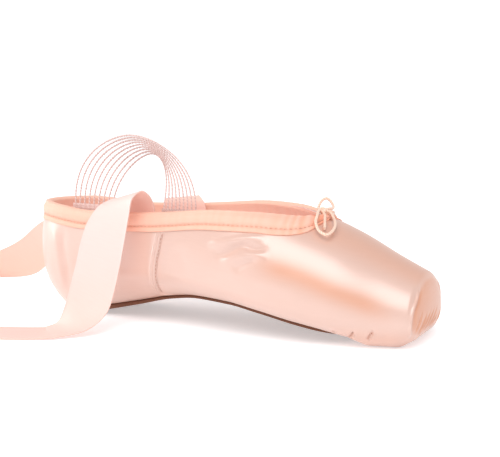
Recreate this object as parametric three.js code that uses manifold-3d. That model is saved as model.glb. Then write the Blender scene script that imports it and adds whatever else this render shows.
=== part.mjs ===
// A satin pointe shoe with its ribbons, its elastic loop and its drawstring bow, standing empty on its sole.
// Millimetres, +X from heel to toe, +Z up. Station x is measured from the heel's back, and the origin is
// on the floor under the middle of the heel's flat spot.
import * as THREE from "three";
import { mergeVertices } from "three/addons/utils/BufferGeometryUtils.js";
import Module from "manifold-3d";

const wasm = await Module();
wasm.setup();

// Driving sizes
const LENGTH = 230; // heel's back to the platform
const ORIGIN_X = 32; // station of the heel's flat spot
const WALL = 1.8; // satin, cloth and paste of the upper
const FIT = 0.3; // gap between pieces that touch
const HEEL_ROUND = 34; // length of the rounded heel seen from above
const HEEL_POWER = 2.1;
const TOE_ROUND = 5.2; // length over which the box turns in to the platform
const TOE_POWER = 2.3;
const PLATFORM_MID = 17; // height of the platform's middle
const HEEL_SHARE = 0.22; // share of the columns spent on the heel's rounding
const TOE_SHARE = 0.1; // and on the platform's rounding
const BACK_MID = 37; // height of the heel's fullest point
const BACK_LOW = 20; // how far the heel's back runs forward at the floor
const BACK_HIGH = 5; // and near the topline
const BACK_REACH = 60; // how far forward that lean is felt
const EDGE_TURN = THREE.MathUtils.degToRad(64); // how far the lower side has turned in where it meets the sole
const OUTSOLE_END = 200;
const OUTSOLE_TIP = 24; // length of the outsole's rounded front
const INSOLE_END = 182;
const INSOLE_THICK = 1.5;
const LAST_MARGIN = 6; // how far the upper turns in under the sock
const CASING_PROUD = 1.2; // how far the drawstring casing stands off the wall
const RIBBON_WIDTH = 24.5;
const RIBBON_THICK = 0.6;
const RIBBON_LENGTH = 450; // from the seam inside the wall to the free end
const ELASTIC_STRANDS = 9;
const CORD = 1.4; // diameter of the drawstring

// The last, a row for each station: half width, height of the widest line, height of the closed crest,
// and the roundness of the section above and below the widest line.
const LAST = [
  { x: 0, half: 28.5, wide: 31, crest: 94, above: 2.6, below: 2.2 },
  { x: 25, half: 28.5, wide: 31, crest: 94, above: 2.6, below: 2.2 },
  { x: 55, half: 31.2, wide: 31, crest: 94, above: 2.6, below: 2.2 },
  { x: 90, half: 36, wide: 31, crest: 92, above: 2.5, below: 2.2 },
  { x: 130, half: 39, wide: 27, crest: 77.5, above: 2.3, below: 2.3 },
  { x: 160, half: 41.3, wide: 22, crest: 63.3, above: 2.2, below: 2.4 },
  { x: 190, half: 38, wide: 17, crest: 51, above: 2.15, below: 2.6 },
  { x: 212, half: 31, wide: 13, crest: 40, above: 2.1, below: 2.5 },
  { x: 230, half: 25.5, wide: 12, crest: 31.5, above: 2.1, below: 2.2 },
];

// The sole, a row for each station: half width of its edge, height of its underside over the floor,
// and height of the upper's underside over that.
const SOLE = [
  { x: 0, edge: 22, floor: 1.2, lift: 2.9 },
  { x: 12, edge: 22, floor: 0, lift: 2.9 },
  { x: 36, edge: 22, floor: 0, lift: 2.9 },
  { x: 55, edge: 20.5, floor: 3.2, lift: 2.9 },
  { x: 75, edge: 20, floor: 7.7, lift: 2.5 },
  { x: 95, edge: 21.5, floor: 12.5, lift: 2 },
  { x: 113, edge: 24.5, floor: 14.6, lift: 1.8 },
  { x: 133, edge: 28, floor: 13.9, lift: 1.8 },
  { x: 150, edge: 30, floor: 11.5, lift: 1.8 },
  { x: 167, edge: 30.5, floor: 8.3, lift: 1.8 },
  { x: 182, edge: 29, floor: 5.4, lift: 1.8 },
  { x: 196, edge: 25.5, floor: 2.2, lift: 1.5 },
  { x: 207, edge: 22.5, floor: 0, lift: 0 },
  { x: 218, edge: 19, floor: 0, lift: 0 },
  { x: 230, edge: 12.5, floor: 6, lift: 0 },
];

// The collar in side view: height of the topline, and of the casing's lower edge, which turns up in front
// of the throat.
const TOPLINE = [
  { x: -8, z: 60.8 },
  { x: 13, z: 60.4 },
  { x: 28, z: 59 },
  { x: 48, z: 57 },
  { x: 75, z: 57.3 },
  { x: 100, z: 58.9 },
  { x: 128, z: 60.9 },
  { x: 148, z: 60.3 },
  { x: 171, z: 58.2 },
  { x: 240, z: 58.2 },
];
const CASING_FOOT = [
  { x: -8, z: 52 },
  { x: 13, z: 51.2 },
  { x: 44, z: 48.1 },
  { x: 90, z: 49.4 },
  { x: 125, z: 52.2 },
  { x: 150, z: 51.8 },
  { x: 166, z: 51 },
  { x: 172.9, z: 52.1 },
  { x: 175.2, z: 53.7 },
  { x: 176.7, z: 56 },
  { x: 177.3, z: 58.4 },
  { x: 177.6, z: 66 },
];

// Monotone cubic through a table's rows, which never overshoots a row
function reading(table, column, x) {
  const last = table.length - 1;
  const slopeOf = (i) => (table[i + 1][column] - table[i][column]) / (table[i + 1].x - table[i].x);
  const tangentAt = (i) => {
    if (i === 0) return slopeOf(0);
    if (i === last) return slopeOf(last - 1);
    const before = slopeOf(i - 1);
    const after = slopeOf(i);
    if (before * after <= 0) return 0;
    const spanBefore = table[i].x - table[i - 1].x;
    const spanAfter = table[i + 1].x - table[i].x;
    const w1 = 2 * spanAfter + spanBefore;
    const w2 = spanAfter + 2 * spanBefore;
    return (w1 + w2) / (w1 / before + w2 / after);
  };
  let i = 0;
  while (i < last - 1 && x > table[i + 1].x) i += 1;
  const span = table[i + 1].x - table[i].x;
  const t = Math.min(Math.max((x - table[i].x) / span, 0), 1);
  const h00 = (1 + 2 * t) * (1 - t) ** 2;
  const h10 = t * (1 - t) ** 2;
  const h01 = t * t * (3 - 2 * t);
  const h11 = t * t * (t - 1);
  const rise = h10 * span * tangentAt(i) + h11 * span * tangentAt(i + 1);
  return h00 * table[i][column] + h01 * table[i + 1][column] + rise;
}

const underside = (x) => reading(SOLE, "floor", x) + reading(SOLE, "lift", x);

// Station, share of the width and share of the whole section at a place along the last, 0 heel to 1 toe.
// The inset is how far the form lies inside the upper's outer face.
function along(a, inset) {
  const start = inset;
  const end = LENGTH - inset;
  if (a < HEEL_SHARE) {
    const turn = ((a / HEEL_SHARE) * Math.PI) / 2;
    const x = start + HEEL_ROUND * (1 - Math.cos(turn) ** (2 / HEEL_POWER));
    return { x, width: Math.sin(turn) ** (2 / HEEL_POWER), ring: 1 };
  }
  if (a > 1 - TOE_SHARE) {
    const turn = (((1 - a) / TOE_SHARE) * Math.PI) / 2;
    const x = end - TOE_ROUND * (1 - Math.cos(turn) ** (2 / TOE_POWER));
    return { x, width: 1, ring: Math.sin(turn) ** (2 / TOE_POWER) };
  }
  const share = (a - HEEL_SHARE) / (1 - HEEL_SHARE - TOE_SHARE);
  return { x: start + HEEL_ROUND + (end - start - HEEL_ROUND - TOE_ROUND) * share, width: 1, ring: 1 };
}

// The heel's back leans forward below and above its fullest point
function leaned(x, z) {
  const low = Math.min(Math.max((BACK_MID - z) / BACK_MID, 0), 1);
  const high = Math.max((z - BACK_MID) / 25, 0);
  const felt = Math.max(1 - x / BACK_REACH, 0) ** 1.5;
  return x + felt * (BACK_LOW * low ** 2.5 + BACK_HIGH * Math.min(high, 1.5) ** 2);
}

// A point of the closed last. turn runs from -2 at the middle of the underside, by -1 at the sole's edge
// and 0 at the widest line, to 1 at the crest.
function lastPoint(a, turn, side, inset) {
  const { x, width, ring } = along(a, inset);
  const half = reading(LAST, "half", x) - inset;
  const wide = reading(LAST, "wide", x);
  const crest = reading(LAST, "crest", x) - inset;
  const edge = reading(SOLE, "edge", x) - 0.6 * inset;
  const bottom = underside(x) + inset;
  let y;
  let z;
  if (turn >= 0) {
    const n = 2 / reading(LAST, "above", x);
    const angle = (turn * Math.PI) / 2;
    y = half * Math.max(Math.cos(angle), 0) ** n;
    z = wide + (crest - wide) * Math.sin(angle) ** n;
  } else {
    const n = 2 / reading(LAST, "below", x);
    const angle = Math.min(-turn, 1) * EDGE_TURN;
    const closing = Math.cos(EDGE_TURN) ** n;
    y = edge + ((half - edge) * (Math.cos(angle) ** n - closing)) / (1 - closing);
    z = wide - ((wide - bottom) * Math.sin(angle) ** n) / Math.sin(EDGE_TURN) ** n;
  }
  if (turn < -1) y *= turn + 2;
  y *= width * ring;
  z = PLATFORM_MID + (z - PLATFORM_MID) * ring;
  return new THREE.Vector3(leaned(x, z), side * y, z);
}

// A closed body from triangles given by their corners; corners that coincide are welded
function bodyOf(corners) {
  const flat = new Float32Array(corners.length * 3);
  corners.forEach((p, i) => p.toArray(flat, i * 3));
  const soup = new THREE.BufferGeometry();
  soup.setAttribute("position", new THREE.BufferAttribute(flat, 3));
  const welded = mergeVertices(soup, 2e-3);
  const kept = [];
  const index = welded.index.array;
  for (let i = 0; i < index.length; i += 3) {
    const [a, b, c] = index.slice(i, i + 3);
    if (a !== b && b !== c && a !== c) kept.push(a, b, c);
  }
  const mesh = new wasm.Mesh({
    numProp: 3,
    vertProperties: welded.attributes.position.array,
    triVerts: new Uint32Array(kept),
  });
  mesh.merge();
  const body = new wasm.Manifold(mesh);
  if (body.volume() > 0) return body;
  throw new Error("a body is inside out");
}

// The triangles of a grid of points, rows[i][j], facing left of the way from row to row
function gridCorners(rows) {
  const corners = [];
  for (let i = 0; i + 1 < rows.length; i += 1) {
    for (let j = 0; j + 1 < rows[i].length; j += 1) {
      const [a, b] = [rows[i][j], rows[i + 1][j]];
      const [c, d] = [rows[i + 1][j + 1], rows[i][j + 1]];
      corners.push(a, b, c, a, c, d);
    }
  }
  return corners;
}

// Three.js solids, such as an extrusion, as a body
function bodyOfGeometry(geometry) {
  const plain = geometry.index ? geometry.toNonIndexed() : geometry;
  const position = plain.getAttribute("position");
  const corners = [];
  for (let i = 0; i < position.count; i += 1) corners.push(new THREE.Vector3().fromBufferAttribute(position, i));
  return bodyOf(corners);
}

const steps = (from, to, count) => Array.from({ length: count + 1 }, (_, i) => from + ((to - from) * i) / count);

const COLUMNS = [
  ...steps(0, HEEL_SHARE, 6),
  ...steps(HEEL_SHARE, 1 - TOE_SHARE, 22).slice(1),
  ...steps(1 - TOE_SHARE, 1, 5).slice(1),
];
const TURNS = [-2, ...steps(-1, 0, 3), ...steps(0, 1, 8).slice(1)];

// The closed last, lying inset inside the upper's outer face
function lastForm(inset) {
  const rows = COLUMNS.map((a) => {
    const near = TURNS.map((turn) => lastPoint(a, turn, -1, inset));
    const far = TURNS.map((turn) => lastPoint(a, turn, 1, inset));
    return [...near, ...far.reverse().slice(1)];
  });
  return bodyOf(gridCorners(rows));
}

// A block seen from the side between two height tables, as wide as the whole shoe
function sideBlock(lower, upper, from, to) {
  const shape = new THREE.Shape();
  const stops = steps(from, to, Math.round((to - from) / 4));
  shape.moveTo(from, lower(from));
  stops.slice(1).forEach((x) => shape.lineTo(x, lower(x)));
  [...stops].reverse().forEach((x) => shape.lineTo(x, upper(x)));
  const block = new THREE.ExtrudeGeometry(shape, { depth: 120, bevelEnabled: false });
  block.rotateX(Math.PI / 2);
  block.translate(0, 60, 0);
  return bodyOfGeometry(block);
}

const topline = (x) => reading(TOPLINE, "z", x);

// Half width of the upper's open underside at a station, 0 where it is closed
function openingHalf(x) {
  const front = OUTSOLE_END - LAST_MARGIN;
  const back = 30;
  if (x <= back - 6 || x >= front) return 0;
  const tip = Math.max((x - (front - OUTSOLE_TIP)) / OUTSOLE_TIP, 0);
  const heel = Math.max((back + 8 - x) / 14, 0);
  const rounding = Math.sqrt(Math.max(1 - tip ** 2, 0)) * Math.sqrt(Math.max(1 - heel ** 2, 0));
  return (reading(SOLE, "edge", x) - LAST_MARGIN) * rounding;
}

function upper() {
  const shell = lastForm(0).subtract(lastForm(WALL));
  const mouth = sideBlock(topline, () => 140, -20, 240);
  const shape = new THREE.Shape();
  const stops = steps(25, OUTSOLE_END - LAST_MARGIN, 34);
  shape.moveTo(stops[0], 0);
  stops.slice(1).forEach((x) => shape.lineTo(x, openingHalf(x)));
  [...stops].reverse().slice(1, -1).forEach((x) => shape.lineTo(x, -openingHalf(x)));
  const foot = new THREE.ExtrudeGeometry(shape, { depth: 32, bevelEnabled: false });
  foot.translate(0, 0, -6);
  return shell.subtract(mouth).subtract(bodyOfGeometry(foot));
}

// The casing folds over the wall's edge: an outer leg, a top and an inner leg
function drawstringCasing() {
  const outer = lastForm(-CASING_PROUD);
  const inner = lastForm(WALL + CASING_PROUD);
  const band = sideBlock((x) => reading(CASING_FOOT, "z", x), (x) => Math.max(topline(x) + CASING_PROUD, reading(CASING_FOOT, "z", x) + 0.1), -8, 177.6);
  const wall = lastForm(-FIT).subtract(lastForm(WALL + FIT));
  const room = wall.intersect(sideBlock(() => -10, (x) => topline(x) + FIT, -20, 240));
  return outer.subtract(inner).intersect(band).subtract(room);
}

// A slab between two faces, from stations with a half width, a lower and an upper height
function slab(stations) {
  const across = steps(-1, 1, 2);
  const face = (level) => stations.map((s) => across.map((t) => new THREE.Vector3(s.x, t * s.half, s[level])));
  const low = face("low");
  const high = face("high");
  const edges = [0, across.length - 1].map((j) => stations.map((_, i) => [low[i][j], high[i][j]]));
  const ends = [0, stations.length - 1].map((i) => across.map((_, j) => [low[i][j], high[i][j]]));
  const flip = (rows) => rows.map((row) => [...row].reverse());
  return bodyOf([
    ...gridCorners(high),
    ...gridCorners(flip(low)),
    ...gridCorners(flip(edges[1])),
    ...gridCorners(edges[0]),
    ...gridCorners(flip(ends[0])),
    ...gridCorners(ends[1]),
  ]);
}

// Stations under the last's own columns, from the heel to a rounded front
function soleStations(inset, margin, end, tip, low, high) {
  const station = (x, place, share) => {
    const half = (reading(SOLE, "edge", x) - 0.6 * inset - margin) * share;
    return { x: place, half, low: low(x), high: high(x) };
  };
  const under = [0.006, ...COLUMNS.slice(1)].map((a) => {
    const { x, width } = along(a, inset);
    return { x, width, place: leaned(x, underside(x) + inset) };
  });
  const back = under.filter(({ x }) => x < end - tip).map(({ x, width, place }) => station(x, place, width));
  const front = steps(0, 0.97, 6).map((t) => {
    const reach = Math.sin((t * Math.PI) / 2);
    return station(end - tip + tip * reach, end - tip + tip * reach, Math.sqrt(1 - reach ** 2.2));
  });
  return [...back, ...front];
}

function outsole() {
  const floor = (x) => reading(SOLE, "floor", x);
  return slab(soleStations(0, 0.4, OUTSOLE_END, OUTSOLE_TIP, floor, (x) => underside(x) - FIT));
}

function insole() {
  const base = (x) => underside(x) + WALL + FIT;
  return slab(soleStations(WALL, 0.8, INSOLE_END, 20, base, (x) => base(x) + INSOLE_THICK));
}

// The same triangles, turned to face the other way
function turned(corners) {
  const back = [];
  for (let i = 0; i < corners.length; i += 3) back.push(corners[i], corners[i + 2], corners[i + 1]);
  return back;
}

// A thin strip between two edges, thickened evenly to both sides. Its two faces are split along the same
// diagonals, so a twist never brings them together.
function strip(left, right, thick) {
  const middle = left.map((p, i) => p.clone().lerp(right[i], 0.5));
  const normals = left.map((p, i) => {
    const run = new THREE.Vector3().subVectors(middle[Math.min(i + 1, left.length - 1)], middle[Math.max(i - 1, 0)]);
    return new THREE.Vector3().subVectors(right[i], p).cross(run).normalize().multiplyScalar(thick / 2);
  });
  const above = left.map((p, i) => [p, middle[i], right[i]].map((q) => q.clone().add(normals[i])));
  const below = left.map((p, i) => [p, middle[i], right[i]].map((q) => q.clone().sub(normals[i])));
  const side = (j) => gridCorners(above.map((_, i) => [below[i][j], above[i][j]]));
  const cap = (i) => gridCorners([below[i], above[i]]);
  return bodyOf([
    ...turned(gridCorners(above)),
    ...gridCorners(below),
    ...turned(side(0)),
    ...side(2),
    ...turned(cap(0)),
    ...cap(left.length - 1),
  ]);
}

// The near ribbon's two edges, a row for each place: sewn inside the wall, rolled over the topline, hanging
// outwards, and curling on to the floor.
const NEAR_RIBBON = [
  { place: "seam", lx: 66, ly: -28, lz: 44, rx: 90.4, ry: -30.9, rz: 45 },
  { place: "inside the collar", lx: 66, ly: -27.2, lz: 54, rx: 90.4, ry: -29.9, rz: 55 },
  { place: "above the collar", lx: 66.4, ly: -27, lz: 60.2, rx: 90.6, ry: -29.9, rz: 62 },
  { place: "rise", lx: 68, ly: -30.5, lz: 64.6, rx: 90, ry: -33.5, rz: 68 },
  { place: "roll", lx: 69, ly: -35.5, lz: 65.5, rx: 88.5, ry: -38.5, rz: 70.6 },
  { place: "fall", lx: 65, ly: -42.5, lz: 62, rx: 86, ry: -42.6, rz: 67 },
  { place: "past the casing", lx: 61, ly: -47, lz: 54, rx: 84.8, ry: -44.4, rz: 58 },
  { place: "high side", lx: 59.5, ly: -51, lz: 44, rx: 83.6, ry: -46.5, rz: 46 },
  { place: "middle", lx: 58.8, ly: -54.5, lz: 33, rx: 82.6, ry: -49.5, rz: 33.5 },
  { place: "low side", lx: 58, ly: -58.5, lz: 22, rx: 81.9, ry: -53.5, rz: 21.5 },
  { place: "curl", lx: 56.5, ly: -61.5, lz: 11.5, rx: 80.6, ry: -59, rz: 10.5 },
  { place: "foot", lx: 53, ly: -63, lz: 4, rx: 75.5, ry: -68.5, rz: 3.4 },
  { place: "landing", lx: 46, ly: -65, lz: 0.9, rx: 64.5, ry: -80.5, rz: 0.8 },
];

// The far ribbon's two edges in the same way
const FAR_RIBBON = [
  { place: "seam", lx: 86, ly: 30.9, lz: 45, rx: 61.6, ry: 28, rz: 44 },
  { place: "inside the collar", lx: 86, ly: 29.9, lz: 55, rx: 61.6, ry: 27.3, rz: 54 },
  { place: "above the collar", lx: 86, ly: 29.8, lz: 60.8, rx: 61.7, ry: 26.6, rz: 59.4 },
  { place: "roll", lx: 82, ly: 34.5, lz: 63.2, rx: 58.5, ry: 31.5, rz: 60.4 },
  { place: "fall", lx: 78, ly: 42, lz: 58, rx: 54, ry: 38.5, rz: 57.6 },
  { place: "turn back", lx: 66, ly: 48, lz: 39.5, rx: 48, ry: 45.5, rz: 56 },
  { place: "past the heel", lx: 36.9, ly: 51.5, lz: 28.8, rx: 35.1, ry: 50.5, rz: 53.2 },
  { place: "behind the heel", lx: 7.1, ly: 51, lz: 26.3, rx: 4.9, ry: 49.5, rz: 50.7 },
  { place: "drooping", lx: -17, ly: 49, lz: 23.1, rx: -23, ry: 47.5, rz: 46.9 },
  { place: "lowering", lx: -34.2, ly: 47.5, lz: 19, rx: -45.8, ry: 45.5, rz: 40.5 },
  { place: "curl", lx: -52, ly: 45.5, lz: 5.6, rx: -61, ry: 38.5, rz: 27.2 },
  { place: "foot", lx: -74, ly: 44, lz: 1.4, rx: -80, ry: 28, rz: 16.6 },
  { place: "landing", lx: -98, ly: 43.5, lz: 0.8, rx: -101, ry: 19.8, rz: 4 },
  { place: "flat", lx: -122, ly: 44.5, lz: 0.7, rx: -124, ry: 20, rz: 0.7 },
];

// A ribbon from its rows, then over the floor along an arc: the heading it starts with and the bend in
// degrees for each 100 mm
function ribbon(table, heading, bend) {
  const edge = (side) => {
    const path = table.map((r) => new THREE.Vector3(r[side + "x"], r[side + "y"], r[side + "z"]));
    return new THREE.CatmullRomCurve3(path, false, "centripetal");
  };
  const curves = [edge("l"), edge("r")];
  const [left, right] = curves.map((curve) => steps(0, 1, 3 * (table.length - 1)).map((t) => curve.getPoint(t)));
  const middle = (i) => left[i].clone().add(right[i]).multiplyScalar(0.5);
  let done = 0;
  for (let i = 1; i < left.length; i += 1) done += middle(i).distanceTo(middle(i - 1));
  const at = middle(left.length - 1);
  const count = Math.ceil((RIBBON_LENGTH - done) / 16);
  const stride = (RIBBON_LENGTH - done) / count;
  const level = (RIBBON_THICK / 2) * 1.1;
  let turn = THREE.MathUtils.degToRad(heading);
  for (let i = 0; i < count; i += 1) {
    at.x += stride * Math.cos(turn);
    at.y += stride * Math.sin(turn);
    at.z = level + (at.z - level) * 0.3;
    const half = new THREE.Vector3(Math.sin(turn), -Math.cos(turn), 0).multiplyScalar(RIBBON_WIDTH / 2);
    left.push(at.clone().add(half));
    right.push(at.clone().sub(half));
    turn += THREE.MathUtils.degToRad((bend * stride) / 100);
  }
  return strip(left, right, RIBBON_THICK);
}

// The elastic: strands side by side, sewn down in a dense foot at each end. share is 0 at the outer strand.
const ELASTIC = {
  behind: 35, ahead: 114.9, // stations of the outer strand's two ends
  back: 3.4, front: 2.3, // from strand to strand at the back foot and at the front one
  seam: 46, foot: 61, // height of the feet, sewn inside the wall
  top: 98.6, drop: 10, // height of the outer strand's top, and how much lower the inner one's is
  lean: 14.5, // how far the inner strand's top leans in
  thick: 1, wide: 1.3,
};

// A strand's path, t from 0 at the back foot to 1 at the front foot
function strandPoint(strand, t) {
  const share = strand / (ELASTIC_STRANDS - 1);
  const behind = ELASTIC.behind + strand * ELASTIC.back;
  const ahead = ELASTIC.ahead - strand * ELASTIC.front;
  const angle = Math.PI * t;
  const rise = Math.sin(angle) ** 0.85;
  const middle = (behind + ahead) / 2;
  const x = middle - ((ahead - behind) / 2) * Math.sign(Math.cos(angle)) * Math.abs(Math.cos(angle)) ** 1.12;
  const z = ELASTIC.foot + (ELASTIC.top - ELASTIC.drop * share - ELASTIC.foot) * rise;
  const y = footPlace(x) + ELASTIC.lean * share * rise ** 1.4;
  return new THREE.Vector3(x, y, z);
}

// Where the inside of the casing lies near the topline, at a station
function footPlace(x) {
  const half = reading(LAST, "half", x);
  const wide = reading(LAST, "wide", x);
  const crest = reading(LAST, "crest", x);
  const n = reading(LAST, "above", x);
  const share = (topline(x) - wide) / (crest - wide);
  return -(half * (1 - share ** n) ** (1 / n)) + WALL + CASING_PROUD + 1.7;
}

function elasticLoop() {
  const { seam, foot, thick, wide } = ELASTIC;
  let body = null;
  const join = (piece) => {
    body = body ? body.add(piece) : piece;
  };
  for (let strand = 0; strand < ELASTIC_STRANDS; strand += 1) {
    const path = steps(0, 1, 13).map((t) => strandPoint(strand, t));
    const inwards = strand < ELASTIC_STRANDS - 1 ? 1 : -1;
    const beside = steps(0, 1, 13).map((t) => {
      const across = strandPoint(strand + inwards, t).sub(strandPoint(strand, t)).normalize();
      return across.multiplyScalar((inwards * wide) / 2);
    });
    const left = path.map((p, i) => p.clone().sub(beside[i]));
    const right = path.map((p, i) => p.clone().add(beside[i]));
    join(strip(left, right, thick));
  }
  const feet = [
    [0, 1],
    [1, -1],
  ];
  feet.forEach(([t, forward]) => {
    const ends = steps(0, ELASTIC_STRANDS - 1, 4).map((s) => strandPoint(s, t));
    ends[0].x -= forward * wide * 0.5;
    ends[4].x += forward * wide * 0.5;
    const low = ends.map((p) => new THREE.Vector3(p.x, footPlace(p.x), seam));
    const high = ends.map((p) => new THREE.Vector3(p.x, footPlace(p.x), foot + 2));
    join(forward > 0 ? strip(low, high, thick) : strip(high, low, thick));
  });
  return body;
}

// Height of the vamp's outer face over a place seen from above
function vampHeight(x, y) {
  const half = reading(LAST, "half", x);
  const wide = reading(LAST, "wide", x);
  const crest = reading(LAST, "crest", x);
  const n = reading(LAST, "above", x);
  return wide + (crest - wide) * Math.max(1 - (Math.abs(y) / half) ** n, 0) ** (1 / n);
}

// The bow's cords, a row for each bend: station, place across, and clearance over the casing
const KNOT = { x: 173, y: -2, lift: 3.2 };
const BOW = {
  bow_loop_near: [
    { x: 172.4, y: -5, lift: 3.6 },
    { x: 173.2, y: -8.6, lift: 3.6 },
    { x: 174.4, y: -12.6, lift: 3.4 },
    { x: 176.1, y: -18.2, lift: 3.2 },
    { x: 179.8, y: -22.5, lift: 3.4 },
    { x: 183.7, y: -23, lift: 3.9 },
    { x: 185, y: -18.2, lift: 3.6 },
    { x: 183.1, y: -10.4, lift: 3 },
    { x: 179.6, y: -4.4, lift: 3.2 },
    { x: 176.1, y: -1, lift: 3.9 },
  ],
  bow_loop_far: [
    { x: 171.6, y: 1, lift: 3.4 },
    { x: 168.6, y: 3, lift: 1.8 },
    { x: 168.4, y: 5, lift: 4 },
    { x: 169.6, y: 6.8, lift: 7 },
    { x: 171.2, y: 7.8, lift: 8.3 },
    { x: 173.2, y: 8.6, lift: 7.6 },
    { x: 174.6, y: 8.4, lift: 5.9 },
    { x: 175.4, y: 5.5, lift: 5 },
    { x: 174.8, y: 1.4, lift: 4.6 },
  ],
  bow_end_near: [
    { x: 175.2, y: -4.6, lift: 2.5 },
    { x: 176.6, y: -7.8, lift: 2.4 },
    { x: 177.9, y: -11, lift: 2.3 },
    { x: 179.3, y: -14.6, lift: 2.3 },
    { x: 180.6, y: -18, lift: 2.3 },
  ],
  bow_end_far: [
    { x: 176, y: 0.8, lift: 2.6 },
    { x: 176.2, y: 4.5, lift: 2.4 },
    { x: 174.8, y: 9, lift: 2.5 },
    { x: 172.4, y: 13.5, lift: 2.6 },
    { x: 169.6, y: 18, lift: 2.8 },
    { x: 166.4, y: 22, lift: 3 },
    { x: 163, y: 25.6, lift: 3.3 },
    { x: 159.6, y: 28.6, lift: 3.5 },
  ],
};

// A place over the vamp in space
const overVamp = ({ x, y, lift }) => new THREE.Vector3(x, y, vampHeight(x, y) + lift);

// A round cord along its bends
function cord(bends) {
  const path = new THREE.CatmullRomCurve3(bends.map(overVamp), false, "centripetal");
  const section = new THREE.Shape();
  const sides = 8;
  for (let i = 0; i < sides; i += 1) {
    const angle = (2 * Math.PI * i) / sides;
    const [u, v] = [(Math.cos(angle) * CORD) / 2, (Math.sin(angle) * CORD) / 2];
    if (i === 0) section.moveTo(u, v);
    else section.lineTo(u, v);
  }
  const count = Math.round(path.getLength() / 3);
  return bodyOfGeometry(new THREE.ExtrudeGeometry(section, { steps: count, extrudePath: path }));
}

function bowKnot() {
  const lump = new THREE.SphereGeometry(1, 10, 8);
  lump.scale(2, 1.9, 1.7);
  const at = overVamp(KNOT);
  lump.translate(at.x, at.y, at.z);
  return bodyOfGeometry(lump);
}

// The pieces, each with its name, its solid and its look
const SATIN = { color: 0xf6cdb9, roughness: 0.35, metalness: 0 };
const BOUND_SATIN = { color: 0xf4c2a4, roughness: 0.5, metalness: 0 };
const RIBBON_SATIN = { color: 0xf2cdbf, roughness: 0.35, metalness: 0 };
const LEATHER = { color: 0x7a4a2e, roughness: 0.7, metalness: 0 };
const SOCK = { color: 0xe9e4ec, roughness: 0.85, metalness: 0 };
const MESH_ELASTIC = { color: 0xe3bdb4, roughness: 0.8, metalness: 0 };
const DRAWSTRING = { color: 0xf3c6a8, roughness: 0.7, metalness: 0 };

function named(name, body, look) {
  const made = body.getMesh();
  const geometry = new THREE.BufferGeometry();
  geometry.setAttribute("position", new THREE.BufferAttribute(made.vertProperties, 3));
  geometry.setIndex(new THREE.BufferAttribute(made.triVerts, 1));
  const mesh = new THREE.Mesh(geometry, new THREE.MeshStandardMaterial(look));
  mesh.name = name;
  return mesh;
}

const shoe = new THREE.Group();
shoe.position.x = -ORIGIN_X;
shoe.add(named("upper", upper(), SATIN));
shoe.add(named("outsole", outsole(), LEATHER));
shoe.add(named("insole", insole(), SOCK));
shoe.add(named("drawstring_casing", drawstringCasing(), BOUND_SATIN));
shoe.add(named("ribbon_near", ribbon(NEAR_RIBBON, 205, -18), RIBBON_SATIN));
shoe.add(named("ribbon_far", ribbon(FAR_RIBBON, 180, 8), RIBBON_SATIN));
shoe.add(named("elastic_loop", elasticLoop(), MESH_ELASTIC));
shoe.add(named("bow_knot", bowKnot(), DRAWSTRING));
Object.entries(BOW).forEach(([name, bends]) => shoe.add(named(name, cord(bends), DRAWSTRING)));

export default shoe;
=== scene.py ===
"""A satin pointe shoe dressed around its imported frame.

Lengths in the tables are millimetres. A station is the distance from the heel's back along the shoe, and the
origin lies on the floor under the middle of the heel's flat spot.
"""

import logging
import math
from dataclasses import dataclass
from enum import Enum

import bpy
import numpy as np
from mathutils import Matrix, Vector


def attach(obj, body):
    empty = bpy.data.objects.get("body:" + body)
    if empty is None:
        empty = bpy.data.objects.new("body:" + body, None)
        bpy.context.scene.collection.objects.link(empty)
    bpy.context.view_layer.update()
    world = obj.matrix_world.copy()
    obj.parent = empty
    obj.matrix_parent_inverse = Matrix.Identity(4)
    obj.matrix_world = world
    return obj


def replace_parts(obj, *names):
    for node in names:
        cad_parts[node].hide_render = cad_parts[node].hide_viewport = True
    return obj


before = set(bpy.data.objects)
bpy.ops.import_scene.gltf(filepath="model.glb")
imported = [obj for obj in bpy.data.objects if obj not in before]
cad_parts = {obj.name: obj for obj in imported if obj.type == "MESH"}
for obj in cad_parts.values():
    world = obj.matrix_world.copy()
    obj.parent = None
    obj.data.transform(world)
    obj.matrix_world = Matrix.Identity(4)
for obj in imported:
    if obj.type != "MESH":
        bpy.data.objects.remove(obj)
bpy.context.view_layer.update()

MM = 0.001
ORIGIN_STATION = 32.0
BODY = "root"
log = logging.getLogger("pointe_shoe")


class Side(Enum):
    """The two sides of the shoe: near carries the elastic, far is the other."""

    NEAR = -1.0
    FAR = 1.0


# ---------------------------------------------------------------------------------------------------------------
# Arrays and meshes


@dataclass(frozen=True)
class Profile:
    """A smooth reading of a short table: monotone cubics between its rows, which never overshoot a row."""

    stations: tuple[float, ...]
    values: tuple[float, ...]

    def at(self, x: np.ndarray) -> np.ndarray:
        """Value at each station.

        Args:
            x: stations, held to the table's ends.

        Returns:
            The cubic through the two rows around each station, with harmonic mean tangents.
        """
        xs, ys = np.array(self.stations), np.array(self.values)
        span = np.diff(xs)
        slope = np.diff(ys) / span
        before, after = slope[:-1], slope[1:]
        near, far = 2 * span[1:] + span[:-1], span[1:] + 2 * span[:-1]
        same = before * after > 0
        mean = (near + far) / (near / np.where(same, before, 1.0) + far / np.where(same, after, 1.0))
        tangent = np.concatenate([slope[:1], np.where(same, mean, 0.0), slope[-1:]])
        x = np.clip(x, xs[0], xs[-1])
        i = np.clip(np.searchsorted(xs, x, side="right") - 1, 0, len(span) - 1)
        t = (x - xs[i]) / span[i]
        level = (1 + 2 * t) * (1 - t) ** 2 * ys[i] + t * t * (3 - 2 * t) * ys[i + 1]
        return level + span[i] * (t * (1 - t) ** 2 * tangent[i] + t * t * (t - 1) * tangent[i + 1])


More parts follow.
